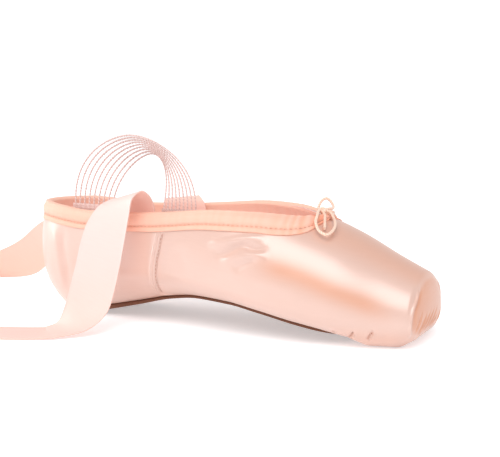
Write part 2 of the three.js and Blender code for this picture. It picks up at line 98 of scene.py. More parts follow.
def smooth(low: float, high: float, x: np.ndarray) -> np.ndarray:
    """0 below low, 1 above high and a smooth step between."""
    t = np.clip((x - low) / (high - low), 0.0, 1.0)
    return t * t * (3 - 2 * t)


def unit(v: np.ndarray) -> np.ndarray:
    """Vectors brought to length one."""
    return v / np.maximum(np.linalg.norm(v, axis=-1, keepdims=True), 1e-12)


def spline(points: np.ndarray, count: int) -> np.ndarray:
    """A smooth path through bends, as centripetal Catmull and Rom would draw it.

    Args:
        points: the bends, one row each.
        count: how many points the path gets.

    Returns:
        Points spaced evenly along the path.
    """
    points = np.asarray(points, float)
    ends = np.vstack([2 * points[0] - points[1], points, 2 * points[-1] - points[-2]])
    knots = np.concatenate([[0.0], np.cumsum(np.sqrt(np.linalg.norm(np.diff(ends, axis=0), axis=1)))])
    t = np.linspace(knots[1], knots[-2], 40 * len(points))
    i = np.clip(np.searchsorted(knots, t, side="right") - 1, 1, len(ends) - 3)
    p, k = [ends[i + d] for d in (-1, 0, 1, 2)], [knots[i + d] for d in (-1, 0, 1, 2)]

    def between(a: np.ndarray, b: np.ndarray, ka: np.ndarray, kb: np.ndarray) -> np.ndarray:
        """The point that divides a to b as t divides ka to kb."""
        share = ((t - ka) / (kb - ka))[:, None]
        return a * (1 - share) + b * share

    first = [between(p[j], p[j + 1], k[j], k[j + 1]) for j in range(3)]
    second = [between(first[j], first[j + 1], k[j], k[j + 2]) for j in range(2)]
    path = between(second[0], second[1], k[1], k[2])
    run = np.concatenate([[0.0], np.cumsum(np.linalg.norm(np.diff(path, axis=0), axis=1))])
    even = np.linspace(0.0, run[-1], count)
    return np.stack([np.interp(even, run, path[:, axis]) for axis in range(3)], axis=1)


def grid_triangles(rows: int, columns: int, start: int = 0, turned: bool = False) -> np.ndarray:
    """Two triangles for each cell of a grid of points numbered row by row.

    Args:
        rows: points along the first direction.
        columns: points along the second.
        start: number of the grid's first point.
        turned: True makes the triangles face the other way.

    Returns:
        Triples of point numbers, facing second direction across first.
    """
    a = (np.arange(rows - 1)[:, None] * columns + np.arange(columns - 1)[None, :]).ravel() + start
    b, c, d = a + columns, a + columns + 1, a + 1
    triangles = np.concatenate([np.stack([a, b, c], 1), np.stack([a, c, d], 1)])
    return triangles[:, ::-1] if turned else triangles


@dataclass
class Skin:
    """A mesh in the making: points in millimetres by station, triangles, a pattern map and a tone.

    A point of the tone is 0 for the plain finish and moves towards 1 where the colour is deeper: painted shade on the
    satin, the binding and the ribbons, and the leather's own darker edge.
    """

    points: np.ndarray
    triangles: np.ndarray
    pattern: np.ndarray | None = None
    tone: np.ndarray | None = None
    slots: np.ndarray | None = None

    def welded(self) -> "Skin":
        """Points that coincide become one, and triangles without area go."""
        keys = np.round(self.points, 4)
        _, first, group = np.unique(keys, axis=0, return_index=True, return_inverse=True)
        group = group.reshape(-1)
        found = group[self.triangles]
        whole = (found[:, 0] != found[:, 1]) & (found[:, 1] != found[:, 2]) & (found[:, 0] != found[:, 2])
        pattern = None if self.pattern is None else self.corner_pattern()[whole]
        tone = None if self.tone is None else self.tone[first]
        slots = None if self.slots is None else self.slots[whole]
        return Skin(self.points[first], found[whole], pattern, tone, slots)

    def corner_pattern(self) -> np.ndarray:
        """The pattern map at each triangle's corners."""
        return self.pattern if self.pattern.ndim == 3 else self.pattern[self.triangles]

    def normals(self) -> np.ndarray:
        """The area weighted normal at each point."""
        a, b, c = (self.points[self.triangles[:, k]] for k in range(3))
        face = np.cross(b - a, c - a)
        total = np.zeros_like(self.points)
        for k in range(3):
            np.add.at(total, self.triangles[:, k], face)
        return unit(total)

    def shown(self, name: str, finishes: list[bpy.types.Material], sharp: float = 40.0) -> bpy.types.Object:
        """The mesh as a Blender object that rides on the shoe.

        Args:
            name: the piece's name.
            finishes: its materials, in the order that slots counts them.
            sharp: edges that turn by more than this many degrees stay crisp.

        Returns:
            The object, at the origin, in metres.
        """
        skin = self.welded()
        mesh = bpy.data.meshes.new(name)
        places = (skin.points - [ORIGIN_STATION, 0.0, 0.0]) * MM
        count = len(skin.triangles)
        mesh.vertices.add(len(places))
        mesh.vertices.foreach_set("co", places.astype(np.float32).ravel())
        mesh.loops.add(3 * count)
        mesh.loops.foreach_set("vertex_index", skin.triangles.astype(np.int32).ravel())
        mesh.polygons.add(count)
        mesh.polygons.foreach_set("loop_start", np.arange(0, 3 * count, 3, dtype=np.int32))
        mesh.polygons.foreach_set("loop_total", np.full(count, 3, dtype=np.int32))
        if skin.slots is not None:
            mesh.polygons.foreach_set("material_index", skin.slots.astype(np.int32))
        mesh.update(calc_edges=True)
        mesh.validate()
        if skin.pattern is not None:
            layer = mesh.uv_layers.new(name="pattern")
            layer.data.foreach_set("uv", skin.pattern.astype(np.float32).ravel())
        if skin.tone is not None:
            tone = mesh.attributes.new("tone", "FLOAT", "POINT")
            tone.data.foreach_set("value", skin.tone.astype(np.float32))
        mesh.polygons.foreach_set("use_smooth", np.ones(count, dtype=bool))
        mesh.set_sharp_from_angle(angle=math.radians(sharp))
        piece = bpy.data.objects.new(name, mesh)
        bpy.context.scene.collection.objects.link(piece)
        for finish in finishes:
            mesh.materials.append(finish)
        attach(piece, BODY)
        return piece


def joined(parts: list[Skin]) -> Skin:
    """Several skins as one, with the same maps."""
    starts = np.cumsum([0] + [len(p.points) for p in parts[:-1]])
    return Skin(
        np.concatenate([p.points for p in parts]),
        np.concatenate([p.triangles + s for p, s in zip(parts, starts)]),
        None if parts[0].pattern is None else np.concatenate([p.pattern for p in parts]),
        None if parts[0].tone is None else np.concatenate([p.tone for p in parts]),
        None if parts[0].slots is None else np.concatenate([p.slots for p in parts]),
    )


def path_frames(path: np.ndarray, reference: np.ndarray) -> tuple[np.ndarray, np.ndarray]:
    """Two directions across a path at each of its points.

    Args:
        path: points along it.
        reference: a direction at each point that the second result leans to.

    Returns:
        The sideways and the upward direction, both across the path.
    """
    along = unit(np.gradient(path, axis=0))
    sideways = unit(np.cross(along, reference))
    return sideways, np.cross(sideways, along)


def tube(path: np.ndarray, radius: np.ndarray | float, sides: int, flat: float = 1.0,
         reference: tuple[float, float, float] = (0.0, 0.0, 1.0)) -> Skin:
    """A round or flattened tube carried along a path, closed at both ends.

    Args:
        path: points along its middle.
        radius: at each point, or one for all.
        sides: of its section.
        flat: height of the section as a share of its width.
        reference: direction that the section's height leans to.

    Returns:
        Its skin, with the pattern map in millimetres along and turns round.
    """
    sideways, upward = path_frames(path, np.broadcast_to(np.array(reference), path.shape))
    angle = np.linspace(0.0, 2 * math.pi, sides + 1)
    reach = np.broadcast_to(np.asarray(radius, float), (len(path),))[:, None, None]
    ring = sideways[:, None] * np.cos(angle)[None, :, None] + flat * upward[:, None] * np.sin(angle)[None, :, None]
    body = path[:, None] + reach * ring
    body[:, -1] = body[:, 0]
    ends = np.stack([np.repeat(path[:1], sides + 1, 0), np.repeat(path[-1:], sides + 1, 0)])
    points = np.concatenate([ends[:1], body, ends[1:]])
    run = np.concatenate([[0.0], np.cumsum(np.linalg.norm(np.diff(path, axis=0), axis=1))])
    run = np.concatenate([run[:1], run, run[-1:]])
    pattern = np.stack(np.broadcast_arrays(run[:, None], angle[None, :] / (2 * math.pi)), -1)
    count = len(points) * (sides + 1)
    return Skin(points.reshape(-1, 3), grid_triangles(len(points), sides + 1, turned=True),
                pattern.reshape(-1, 2), np.zeros(count))


def stitches(places: np.ndarray, along: np.ndarray, out: np.ndarray, length: float, thick: float) -> Skin:
    """A row of short thread stitches, each one a low arch that starts and ends in the cloth.

    Args:
        places: the middle of each stitch on the cloth.
        along: the direction of each.
        out: away from the cloth, for each.
        length: of a stitch.
        thick: diameter of the thread.

    Returns:
        All stitches as one skin.
    """
    steps, sides = 6, 6
    s = np.linspace(-1.0, 1.0, steps)
    angle = np.linspace(0.0, 2 * math.pi, sides, endpoint=False)
    rise = (1 - s**2) * thick * 0.9 - thick * 0.35
    radius = np.sqrt(np.maximum(1 - s**4, 0.0)) * thick / 2
    along, out = unit(along), unit(out)
    side = np.cross(along, out)
    middle = (places[:, None] + along[:, None] * (s * length / 2)[None, :, None]
              + out[:, None] * rise[None, :, None])
    ring = side[:, None] * np.cos(angle)[None, :, None] + out[:, None] * np.sin(angle)[None, :, None]
    points = middle[:, :, None] + ring[:, None] * radius[None, :, None, None]
    a = (np.arange(steps - 1)[:, None] * sides + np.arange(sides)[None, :]).ravel()
    b = (np.arange(steps - 1)[:, None] * sides + (np.arange(sides)[None, :] + 1) % sides).ravel()
    one = np.concatenate([np.stack([a, b, b + sides], 1), np.stack([a, b + sides, a + sides], 1)])
    every = (one[None] + (np.arange(len(places)) * steps * sides)[:, None, None]).reshape(-1, 3)
    flat = points.reshape(-1, 3)
    skin = Skin(flat, every, np.zeros((len(flat), 2)), np.zeros(len(flat)))
    return skin if signed_volume(skin) > 0 else Skin(flat, every[:, ::-1], skin.pattern, skin.tone)


def signed_volume(skin: Skin) -> float:
    """Six times the volume inside a closed skin, negative if it is inside out."""
    a, b, c = (skin.points[skin.triangles[:, k]] for k in range(3))
    return float(np.einsum("ij,ij->", a - skin.points.mean(0), np.cross(b - a, c - a)))


# ---------------------------------------------------------------------------------------------------------------
# Finishes


Colour = tuple[float, float, float]


class Nodes:
    """A material's node tree with short ways to add to it."""

    def __init__(self, name: str) -> None:
        """Starts a material with one surface shader."""
        self.material = bpy.data.materials.new(name)
        self.material.use_nodes = True
        self.tree = self.material.node_tree
        self.tree.nodes.clear()
        self.shader = self.add("ShaderNodeBsdfPrincipled")
        output = self.add("ShaderNodeOutputMaterial")
        self.link(self.shader.outputs[0], output.inputs["Surface"])

    def add(self, kind: str, **values: object) -> bpy.types.Node:
        """A new node with its own settings."""
        node = self.tree.nodes.new(kind)
        for key, value in values.items():
            setattr(node, key, value)
        return node

    def link(self, out: bpy.types.NodeSocket, into: bpy.types.NodeSocket) -> None:
        """Joins two sockets."""
        self.tree.links.new(out, into)

    def coordinates(self, mapped: bool, scale: tuple[float, float, float]) -> bpy.types.NodeSocket:
        """Places for a pattern.

        Args:
            mapped: True reads the piece's pattern map, False its Object coordinates.
            scale: along each axis.

        Returns:
            The scaled vector.
        """
        if mapped:
            source = self.add("ShaderNodeUVMap", uv_map="pattern").outputs["UV"]
        else:
            source = self.add("ShaderNodeTexCoord").outputs["Object"]
        mapping = self.add("ShaderNodeMapping")
        mapping.inputs["Scale"].default_value = scale
        self.link(source, mapping.inputs["Vector"])
        return mapping.outputs["Vector"]

    def noise(self, vector: bpy.types.NodeSocket, detail: float = 3.0, scale: float = 1.0) -> bpy.types.NodeSocket:
        """Soft noise from 0 to 1 at a vector."""
        node = self.add("ShaderNodeTexNoise")
        node.inputs["Scale"].default_value = scale
        node.inputs["Detail"].default_value = detail
        self.link(vector, node.inputs["Vector"])
        return node.outputs["Fac"]

    def waves(self, vector: bpy.types.NodeSocket, axis: str, scale: float, wander: float) -> bpy.types.NodeSocket:
        """Parallel ridges from 0 to 1, which wander a little."""
        node = self.add("ShaderNodeTexWave", wave_type="BANDS", bands_direction=axis)
        node.inputs["Scale"].default_value = scale
        node.inputs["Distortion"].default_value = wander
        self.link(vector, node.inputs["Vector"])
        return node.outputs["Fac"]

    def shade(self, share: bpy.types.NodeSocket, low: Colour, high: Colour,
              start: float = 0.0, end: float = 1.0) -> bpy.types.NodeSocket:
        """A colour between two, by a share that is stretched from start to end."""
        ramp = self.add("ShaderNodeValToRGB")
        ramp.color_ramp.elements[0].position = start
        ramp.color_ramp.elements[0].color = (*low, 1.0)
        ramp.color_ramp.elements[1].position = end
        ramp.color_ramp.elements[1].color = (*high, 1.0)
        self.link(share, ramp.inputs["Fac"])
        return ramp.outputs["Color"]

    def mix(self, share: bpy.types.NodeSocket, first: bpy.types.NodeSocket,
            second: bpy.types.NodeSocket, blend: str = "MIX") -> bpy.types.NodeSocket:
        """Two colours mixed by a share."""
        node = self.add("ShaderNodeMix", data_type="RGBA", blend_type=blend)
        self.link(share, node.inputs["Factor"])
        self.link(first, node.inputs["A"])
        self.link(second, node.inputs["B"])
        return node.outputs["Result"]

    def value(self, share: bpy.types.NodeSocket, low: float, high: float) -> bpy.types.NodeSocket:
        """A share from 0 to 1 turned into a number from low to high."""
        node = self.add("ShaderNodeMapRange")
        node.inputs["To Min"].default_value = low
        node.inputs["To Max"].default_value = high
        self.link(share, node.inputs["Value"])
        return node.outputs["Result"]

    def tone(self) -> bpy.types.NodeSocket:
        """The piece's own tone."""
        return self.add("ShaderNodeAttribute", attribute_name="tone").outputs["Fac"]

    def bump(self, height: bpy.types.NodeSocket, depth_mm: float, strength: float,
             under: bpy.types.NodeSocket | None = None) -> bpy.types.NodeSocket:
        """Relief for the shader, over other relief if there is any."""
        node = self.add("ShaderNodeBump")
        node.inputs["Strength"].default_value = strength
        node.inputs["Distance"].default_value = depth_mm * MM
        self.link(height, node.inputs["Height"])
        if under is not None:
            self.link(under, node.inputs["Normal"])
        self.link(node.outputs["Normal"], self.shader.inputs["Normal"])
        return node.outputs["Normal"]

    def set(self, **values: float | tuple[float, ...]) -> None:
        """Constant values on the shader's own sockets, by name with underscores for spaces."""
        for key, value in values.items():
            self.shader.inputs[key.replace("_", " ")].default_value = value


def dimmed(colour: Colour) -> Colour:
    """A slightly darker colour, for the hollows between slubs."""
    return (colour[0] * 0.98, colour[1] * 0.975, colour[2] * 0.97)


@dataclass(frozen=True)
class Satin:
    """Shiny satin: long floats of thread that catch the light, fine slubs and a deeper tone where asked, which is
    painted shade.

    through is a painted glow: the cloth gives off its own colour as emission, standing for light that comes through
    thin cloth.
    """

    name: str
    pale: Colour
    deep: Colour
    roughness: float
    shine: float = 0.5
    sheen: float = 0.1
    ripple: float = 0.15
    thread_mm: float = 0.45
    slub_mm: float = 9.0
    relief_mm: float = 0.03
    through: float = 0.0

    def material(self) -> bpy.types.Material:
        """The finish as a material that reads the pattern map in millimetres."""
        n = Nodes(self.name)
        slubs = n.noise(n.coordinates(True, (1 / self.slub_mm, 8 / self.slub_mm, 1.0)), 4.0)
        tone = n.tone()
        cloth = n.mix(tone, n.shade(slubs, dimmed(self.pale), self.pale, 0.3, 0.7),
                      n.shade(slubs, dimmed(self.deep), self.deep, 0.3, 0.7))
        n.link(cloth, n.shader.inputs["Base Color"])
        # Painted glow: the cloth's colour is also given off as emission, as strong as through.
        n.link(cloth, n.shader.inputs["Emission Color"])
        n.link(n.value(slubs, self.roughness - 0.015, self.roughness + 0.015), n.shader.inputs["Roughness"])
        n.link(n.value(tone, self.shine, self.shine * 0.2), n.shader.inputs["Specular IOR Level"])
        weave = n.waves(n.coordinates(True, (1 / self.thread_mm, 1 / self.thread_mm, 1.0)), "Y", 0.5, 1.2)
        soft = n.noise(n.coordinates(True, (0.06, 0.11, 1.0)), 2.0)
        n.bump(weave, self.relief_mm, 0.1, n.bump(soft, 0.5, self.ripple))
        n.set(Sheen_Weight=self.sheen, Sheen_Roughness=0.4, Anisotropic=0.3, IOR=1.75,
              Emission_Strength=self.through)
        n.shader.inputs["Sheen Tint"].default_value = (1.0, 0.93, 0.9, 1.0)
        return n.material


@dataclass(frozen=True)
class Cotton:
    """Plain woven cotton, matt, with crossing threads. through is a painted glow in the cloth's own colour, standing
    for light that comes through it.
    """

    name: str
    pale: Colour
    deep: Colour
    thread_mm: float = 0.6
    through: float = 0.2

    def material(self) -> bpy.types.Material:
        """The finish as a material on Object coordinates."""
        n = Nodes(self.name)
        cloud = n.noise(n.coordinates(False, (60.0, 60.0, 60.0)), 4.0)
        cloth = n.shade(cloud, self.deep, self.pale, 0.25, 0.7)
        n.link(cloth, n.shader.inputs["Base Color"])
        # Painted glow: the cloth's colour is also given off as emission, as strong as through.
        n.link(cloth, n.shader.inputs["Emission Color"])
        per = 1000 / self.thread_mm
        warp = n.waves(n.coordinates(False, (per, per, per)), "X", 0.35, 0.5)
        weft = n.waves(n.coordinates(False, (per, per, per)), "Y", 0.35, 0.5)
        n.bump(weft, 0.05, 0.5, n.bump(warp, 0.05, 0.5))
        n.set(Roughness=0.92, Sheen_Weight=0.3, Sheen_Roughness=0.5, Specular_IOR_Level=0.25,
              Emission_Strength=self.through)
        return n.material


@dataclass(frozen=True)
class Leather:
    """Buffed sole leather: fine grain, cloudy colour and darker at its edge."""

    name: str
    pale: Colour
    deep: Colour
    edge: Colour

    def material(self) -> bpy.types.Material:
        """The finish as a material on Object coordinates."""
        n = Nodes(self.name)
        cloud = n.noise(n.coordinates(False, (45.0, 90.0, 90.0)), 5.0)
        body = n.shade(cloud, self.deep, self.pale, 0.3, 0.72)
        rim = n.shade(cloud, self.edge, self.edge)
        n.link(n.mix(n.tone(), body, rim), n.shader.inputs["Base Color"])
        grain = n.add("ShaderNodeTexVoronoi", feature="F1")
        grain.inputs["Scale"].default_value = 1.0
        n.link(n.coordinates(False, (900.0, 900.0, 900.0)), grain.inputs["Vector"])
        scuffs = n.noise(n.coordinates(False, (700.0, 120.0, 200.0)), 4.0)
        n.bump(scuffs, 0.12, 0.5, n.bump(grain.outputs["Distance"], 0.1, 0.5))
        n.link(n.value(cloud, 0.62, 0.85), n.shader.inputs["Roughness"])
        return n.material


@dataclass(frozen=True)
class Thread:
    """Twisted thread or cord: slanting plies along its length."""

    name: str
    pale: Colour
    deep: Colour
    ply_mm: float
    roughness: float = 0.6

    def material(self) -> bpy.types.Material:
        """The finish as a material that reads millimetres along and turns round."""
        n = Nodes(self.name)
        plies = n.waves(n.coordinates(True, (1 / self.ply_mm, 1.0, 1.0)), "DIAGONAL", 0.5, 0.3)
        n.link(n.shade(plies, self.deep, self.pale, 0.1, 0.8), n.shader.inputs["Base Color"])
        n.bump(plies, 0.12, 0.7)
        n.set(Roughness=self.roughness, Sheen_Weight=0.3, Sheen_Roughness=0.5)
        return n.material


@dataclass(frozen=True)
class Plain:
    """A matt table lit a little from below, for the floor."""

    name: str
    pale: Colour
    deep: Colour
    glow: Colour
    glow_strength: float

    def material(self) -> bpy.types.Material:
        """The finish as a material on Object coordinates."""
        n = Nodes(self.name)
        cloud = n.noise(n.coordinates(False, (3.0, 3.0, 3.0)), 2.0)
        n.link(n.shade(cloud, self.deep, self.pale), n.shader.inputs["Base Color"])
        n.set(Roughness=0.9, Specular_IOR_Level=0.1, Emission_Strength=self.glow_strength)
        n.set(Emission_Color=(*self.glow, 1.0))
        return n.material


# PEACH_SATIN's deep colour is the painted shade that the upper's tone lays on. The binding, ribbon, lining and sock
# have a painted glow by their through.
PEACH_SATIN = Satin("peach_satin", (0.68, 0.445, 0.37), (0.68, 0.345, 0.235), 0.3, 0.85)
BINDING_SATIN = Satin("binding_satin", (0.80, 0.50, 0.40), (0.86, 0.40, 0.27), 0.6, 0.3, thread_mm=0.6,
                      relief_mm=0.1, through=0.09)
RIBBON_SATIN = Satin("ribbon_satin", (0.76, 0.58, 0.535), (0.90, 0.50, 0.40), 0.5, 0.4, relief_mm=0.02,
                     ripple=0.05, through=0.06)
LINING = Cotton("cotton_lining", (0.90, 0.72, 0.68), (0.84, 0.62, 0.57))
SOCK = Cotton("sock_cloth", (0.84, 0.81, 0.87), (0.78, 0.74, 0.82))
SOLE_LEATHER = Leather("sole_leather", (0.36, 0.16, 0.085), (0.25, 0.10, 0.05), (0.16, 0.055, 0.025))
SEAM_THREAD = Thread("seam_thread", (0.70, 0.36, 0.25), (0.50, 0.22, 0.14), 0.5)
PALE_THREAD = Thread("pale_thread", (0.90, 0.66, 0.54), (0.72, 0.42, 0.30), 0.5)
ELASTIC_THREAD = Thread("elastic_thread", (0.72, 0.51, 0.47), (0.60, 0.39, 0.35), 1.3)
DRAWSTRING = Thread("drawstring_cord", (0.92, 0.68, 0.55), (0.84, 0.54, 0.40), 1.1)
FLOOR = Plain("pale_floor", (0.86, 0.86, 0.87), (0.83, 0.83, 0.84), (0.90, 0.96, 1.0), 0.4)


# ---------------------------------------------------------------------------------------------------------------
# Camera, lights and floor


@dataclass
class Studio:
    """The viewpoint of the photograph, turned to bring the shoe to the middle, soft lights and a pale floor."""

    eye: tuple[float, float, float] = (0.3122, -0.4202, 0.1042)
    turn: float = 26.9
    tip: float = 6.6
    lens: float = 64.8
    low_front: float = 0.85
    low_back: float = 1.1
    high: float = 0.62
    key_from: tuple[float, float, float] = (0.12, -0.58, 0.81)
    key_width: float = 52.0
    key: float = 1.9
    left_place: tuple[float, float, float] = (-1.3, -0.45, 0.42)
    left_size: tuple[float, float] = (0.8, 0.9)
    left: float = 8.5

    def direction(self) -> Vector:
        """Where the camera looks: turned left from +Y, tipped down."""
        turn, tip = math.radians(self.turn), math.radians(self.tip)
        return Vector((-math.sin(turn) * math.cos(tip), math.cos(turn) * math.cos(tip), -math.sin(tip)))

    def place_camera(self) -> None:
        """Makes the scene's camera."""
        data = bpy.data.cameras.new("camera")
        data.lens, data.sensor_width = self.lens, 36.0
        data.clip_start, data.clip_end = 0.01, 20.0
        camera = bpy.data.objects.new("camera", data)
        camera.location = self.eye
        camera.rotation_euler = self.direction().to_track_quat("-Z", "Y").to_euler()
        bpy.context.scene.collection.objects.link(camera)
        bpy.context.scene.camera = camera

    def softbox(self, name: str, place: Vector, aim: Vector, width: float, height: float, power: float) -> None:
        """One rectangular light that looks at a point."""
        data = bpy.data.lights.new(name, "AREA")
        data.shape, data.size, data.size_y, data.energy = "RECTANGLE", width, height, power
        lamp = bpy.data.objects.new(name, data)
        lamp.location = place
        lamp.rotation_euler = (aim - place).to_track_quat("-Z", "Y").to_euler()
        bpy.context.scene.collection.objects.link(lamp)

    def surround(self) -> None:
        """A ring of white round the horizon, brightest at the backdrop, and a dimmer sky that lets satin show bands."""
        world = bpy.data.worlds.new("surround")
        world.use_nodes = True
        tree = world.node_tree
        split = tree.nodes.new("ShaderNodeSeparateXYZ")
        tree.links.new(tree.nodes.new("ShaderNodeTexCoord").outputs["Generated"], split.inputs[0])
        levels = []
        for axis, low, high, start, end in (("Y", -0.1, 0.45, self.low_front, self.low_back),
                                            ("Z", 0.18, 0.36, 1.0, self.high)):
            level = tree.nodes.new("ShaderNodeMapRange")
            for name, value in (("From Min", low), ("From Max", high), ("To Min", start), ("To Max", end)):
                level.inputs[name].default_value = value
            tree.links.new(split.outputs[axis], level.inputs["Value"])
            levels.append(level.outputs["Result"])
        both = tree.nodes.new("ShaderNodeMath")
        both.operation = "MULTIPLY"
        tree.links.new(levels[0], both.inputs[0])
        tree.links.new(levels[1], both.inputs[1])
        tree.links.new(both.outputs[0], tree.nodes["Background"].inputs["Strength"])
        tree.nodes["Background"].inputs["Color"].default_value = (1.0, 1.0, 1.0, 1.0)
        bpy.context.scene.world = world

    def light(self) -> None:
        """The surround, a broad sun from above the near side, and a tall softbox to the left of the heel."""
        self.surround()
        aim = Vector((0.08, 0.0, 0.03))
        key = bpy.data.lights.new("broad_key", "SUN")
        key.energy, key.angle = self.key, math.radians(self.key_width)
        lamp = bpy.data.objects.new("broad_key", key)
        lamp.rotation_euler = Vector(self.key_from).to_track_quat("Z", "Y").to_euler()
        bpy.context.scene.collection.objects.link(lamp)
        self.softbox("left_softbox", Vector(self.left_place), aim, *self.left_size, self.left)
        bpy.context.scene.view_settings.view_transform = "Standard"

    def lay_floor(self) -> None:
        """A wide flat floor under the shoe, which isn't part of it."""
        half = 4.0
        mesh = bpy.data.meshes.new("floor")
        mesh.from_pydata([(-half, -half, 0), (half, -half, 0), (half, half, 0), (-half, half, 0)], [], [(0, 1, 2, 3)])
        mesh.materials.append(FLOOR.material())
        floor = bpy.data.objects.new("floor", mesh)
        floor.location.z = -0.0003
        bpy.context.scene.collection.objects.link(floor)


# ---------------------------------------------------------------------------------------------------------------
# The last


FORM_ROWS = (0, 25, 55, 90, 130, 160, 190, 212, 230)
SOLE_ROWS = (0, 12, 36, 55, 75, 95, 113, 133, 150, 167, 182, 196, 207, 218, 230)


@dataclass(frozen=True)
class Last:
    """The form that the shoe is made on, as a surface of two parameters.

    share runs along it from 0 at the heel to 1 in the middle of the platform. turn runs round each section from
    -2 in the middle of the underside, by -1 at the sole's edge and 0 at the widest line, to 1 at the crest.
    Above the widest line a section is a superellipse; below it the same kind of curve is stopped at the sole's
    edge. The heel is rounded by a superellipse seen from above, and the box turns in to its flat platform.
    """

    length: float = 230.0
    heel_round: float = 34.0
    heel_power: float = 2.1
    toe_round: float = 5.2
    toe_power: float = 2.3
    heel_share: float = 0.22
    toe_share: float = 0.10
    platform_mid: float = 17.0
    back_mid: float = 37.0
    back_low: float = 20.0
    back_high: float = 5.0
    back_reach: float = 60.0
    edge_turn: float = math.radians(64.0)
    half: Profile = Profile(FORM_ROWS, (28.5, 28.5, 31.2, 36, 39, 41.3, 38, 31, 25.5))
    wide: Profile = Profile(FORM_ROWS, (31, 31, 31, 31, 27, 22, 17, 13, 12))
    crest: Profile = Profile(FORM_ROWS, (94, 94, 94, 92, 77.5, 63.3, 51, 40, 31.5))
    above: Profile = Profile(FORM_ROWS, (2.6, 2.6, 2.6, 2.5, 2.3, 2.2, 2.15, 2.1, 2.1))
    below: Profile = Profile(FORM_ROWS, (2.2, 2.2, 2.2, 2.2, 2.3, 2.4, 2.6, 2.5, 2.2))
    edge: Profile = Profile(SOLE_ROWS, (22, 22, 22, 20.5, 20, 21.5, 24.5, 28, 30, 30.5, 29, 25.5, 22.5, 19, 12.5))
    floor: Profile = Profile(SOLE_ROWS, (1.2, 0, 0, 3.2, 7.7, 12.5, 14.6, 13.9, 11.5, 8.3, 5.4, 2.2, 0, 0, 6))
    lift: Profile = Profile(SOLE_ROWS, (2.9, 2.9, 2.9, 2.9, 2.5, 2, 1.8, 1.8, 1.8, 1.8, 1.8, 1.5, 0, 0, 0))
    topline: Profile = Profile((-8, 13, 28, 48, 75, 100, 128, 148, 171, 240),
                               (60.8, 60.4, 59, 57, 57.3, 58.9, 60.9, 60.3, 58.2, 58.2))

    def along(self, share: np.ndarray, inset: float) -> tuple[np.ndarray, np.ndarray, np.ndarray]:
        """Station, share of the width and share of the whole section at a place along the last."""
        start, end = inset, self.length - inset
        heel = np.clip(share / self.heel_share, 0.0, 1.0) * math.pi / 2
        toe = np.clip((1 - share) / self.toe_share, 0.0, 1.0) * math.pi / 2
        middle = np.clip((share - self.heel_share) / (1 - self.heel_share - self.toe_share), 0.0, 1.0)
        x = start + self.heel_round + (end - start - self.heel_round - self.toe_round) * middle
        x = np.where(share < self.heel_share, start + self.heel_round * (1 - np.cos(heel) ** (2 / self.heel_power)), x)
        late = share > 1 - self.toe_share
        x = np.where(late, end - self.toe_round * (1 - np.cos(toe) ** (2 / self.toe_power)), x)
        return x, np.sin(heel) ** (2 / self.heel_power), np.where(late, np.sin(toe) ** (2 / self.toe_power), 1.0)

    def share_at(self, x: np.ndarray) -> np.ndarray:
        """The place along the last of a station between the heel's and the platform's rounding."""
        run = self.length - self.heel_round - self.toe_round
        return self.heel_share + (x - self.heel_round) / run * (1 - self.heel_share - self.toe_share)

    def underside(self, x: np.ndarray) -> np.ndarray:
        """Height of the upper's underside."""
        return self.floor.at(x) + self.lift.at(x)

    def leaned(self, x: np.ndarray, z: np.ndarray) -> np.ndarray:
        """Stations moved forward where the heel's back curves in below and above its fullest height."""
        low = np.clip((self.back_mid - z) / self.back_mid, 0.0, 1.0)
        high = np.clip((z - self.back_mid) / 25.0, 0.0, 1.5)
        felt = np.clip(1 - x / self.back_reach, 0.0, None) ** 1.5
        return x + felt * (self.back_low * low**2.5 + self.back_high * high**2)

    def point(self, share: np.ndarray, turn: np.ndarray, side: Side, inset: float = 0.0) -> np.ndarray:
        """Points of the surface.

        Args:
            share: places along the last.
            turn: places round the section.
            side: near or far.
            inset: how far inside the upper's outer face.

        Returns:
            Stations, places across and heights, in the last axis.
        """
        share, turn = np.broadcast_arrays(np.asarray(share, float), np.asarray(turn, float))
        x, width, ring = self.along(share, inset)
        half, wide, crest = self.half.at(x) - inset, self.wide.at(x), self.crest.at(x) - inset
        edge, bottom = self.edge.at(x) - 0.6 * inset, self.underside(x) + inset
        angle = np.clip(turn, 0.0, 1.0) * math.pi / 2
        n = 2 / self.above.at(x)
        high_y = half * np.maximum(np.cos(angle), 0.0) ** n
        high_z = wide + (crest - wide) * np.sin(angle) ** n
        n = 2 / self.below.at(x)
        angle = np.clip(-turn, 0.0, 1.0) * self.edge_turn
        closing = math.cos(self.edge_turn) ** n
        low_y = edge + (half - edge) * (np.cos(angle) ** n - closing) / (1 - closing)
        low_z = wide - (wide - bottom) * np.sin(angle) ** n / math.sin(self.edge_turn) ** n
        y = np.where(turn >= 0, high_y, low_y) * np.where(turn < -1, turn + 2, 1.0) * width * ring
        y = np.where(turn >= 1, 0.0, y)
        z = self.platform_mid + (np.where(turn >= 0, high_z, low_z) - self.platform_mid) * ring
        return np.stack([self.leaned(x, z), side.value * y, z], axis=-1)

    def turn_at(self, share: np.ndarray, height: np.ndarray, inset: float = 0.0) -> np.ndarray:
        """The place round the section, above the widest line, that lies at a height."""
        x, _, _ = self.along(share, inset)
        wide, crest = self.wide.at(x), self.crest.at(x) - inset
        reach = np.clip((height - wide) / (crest - wide), 0.0, 1.0)
        return np.arcsin(reach ** (self.above.at(x) / 2)) * 2 / math.pi

    def collar_turn(self, share: np.ndarray, inset: float = 0.0) -> np.ndarray:
        """The place round the section where the topline cuts it, 1 where it is closed."""
        x, _, _ = self.along(share, inset)
        turn = self.turn_at(share, self.topline.at(x), inset)
        return self.turn_at(share, self.topline.at(self.leaned(x, self.point(share, turn, Side.FAR, inset)[..., 2])),
                            inset)

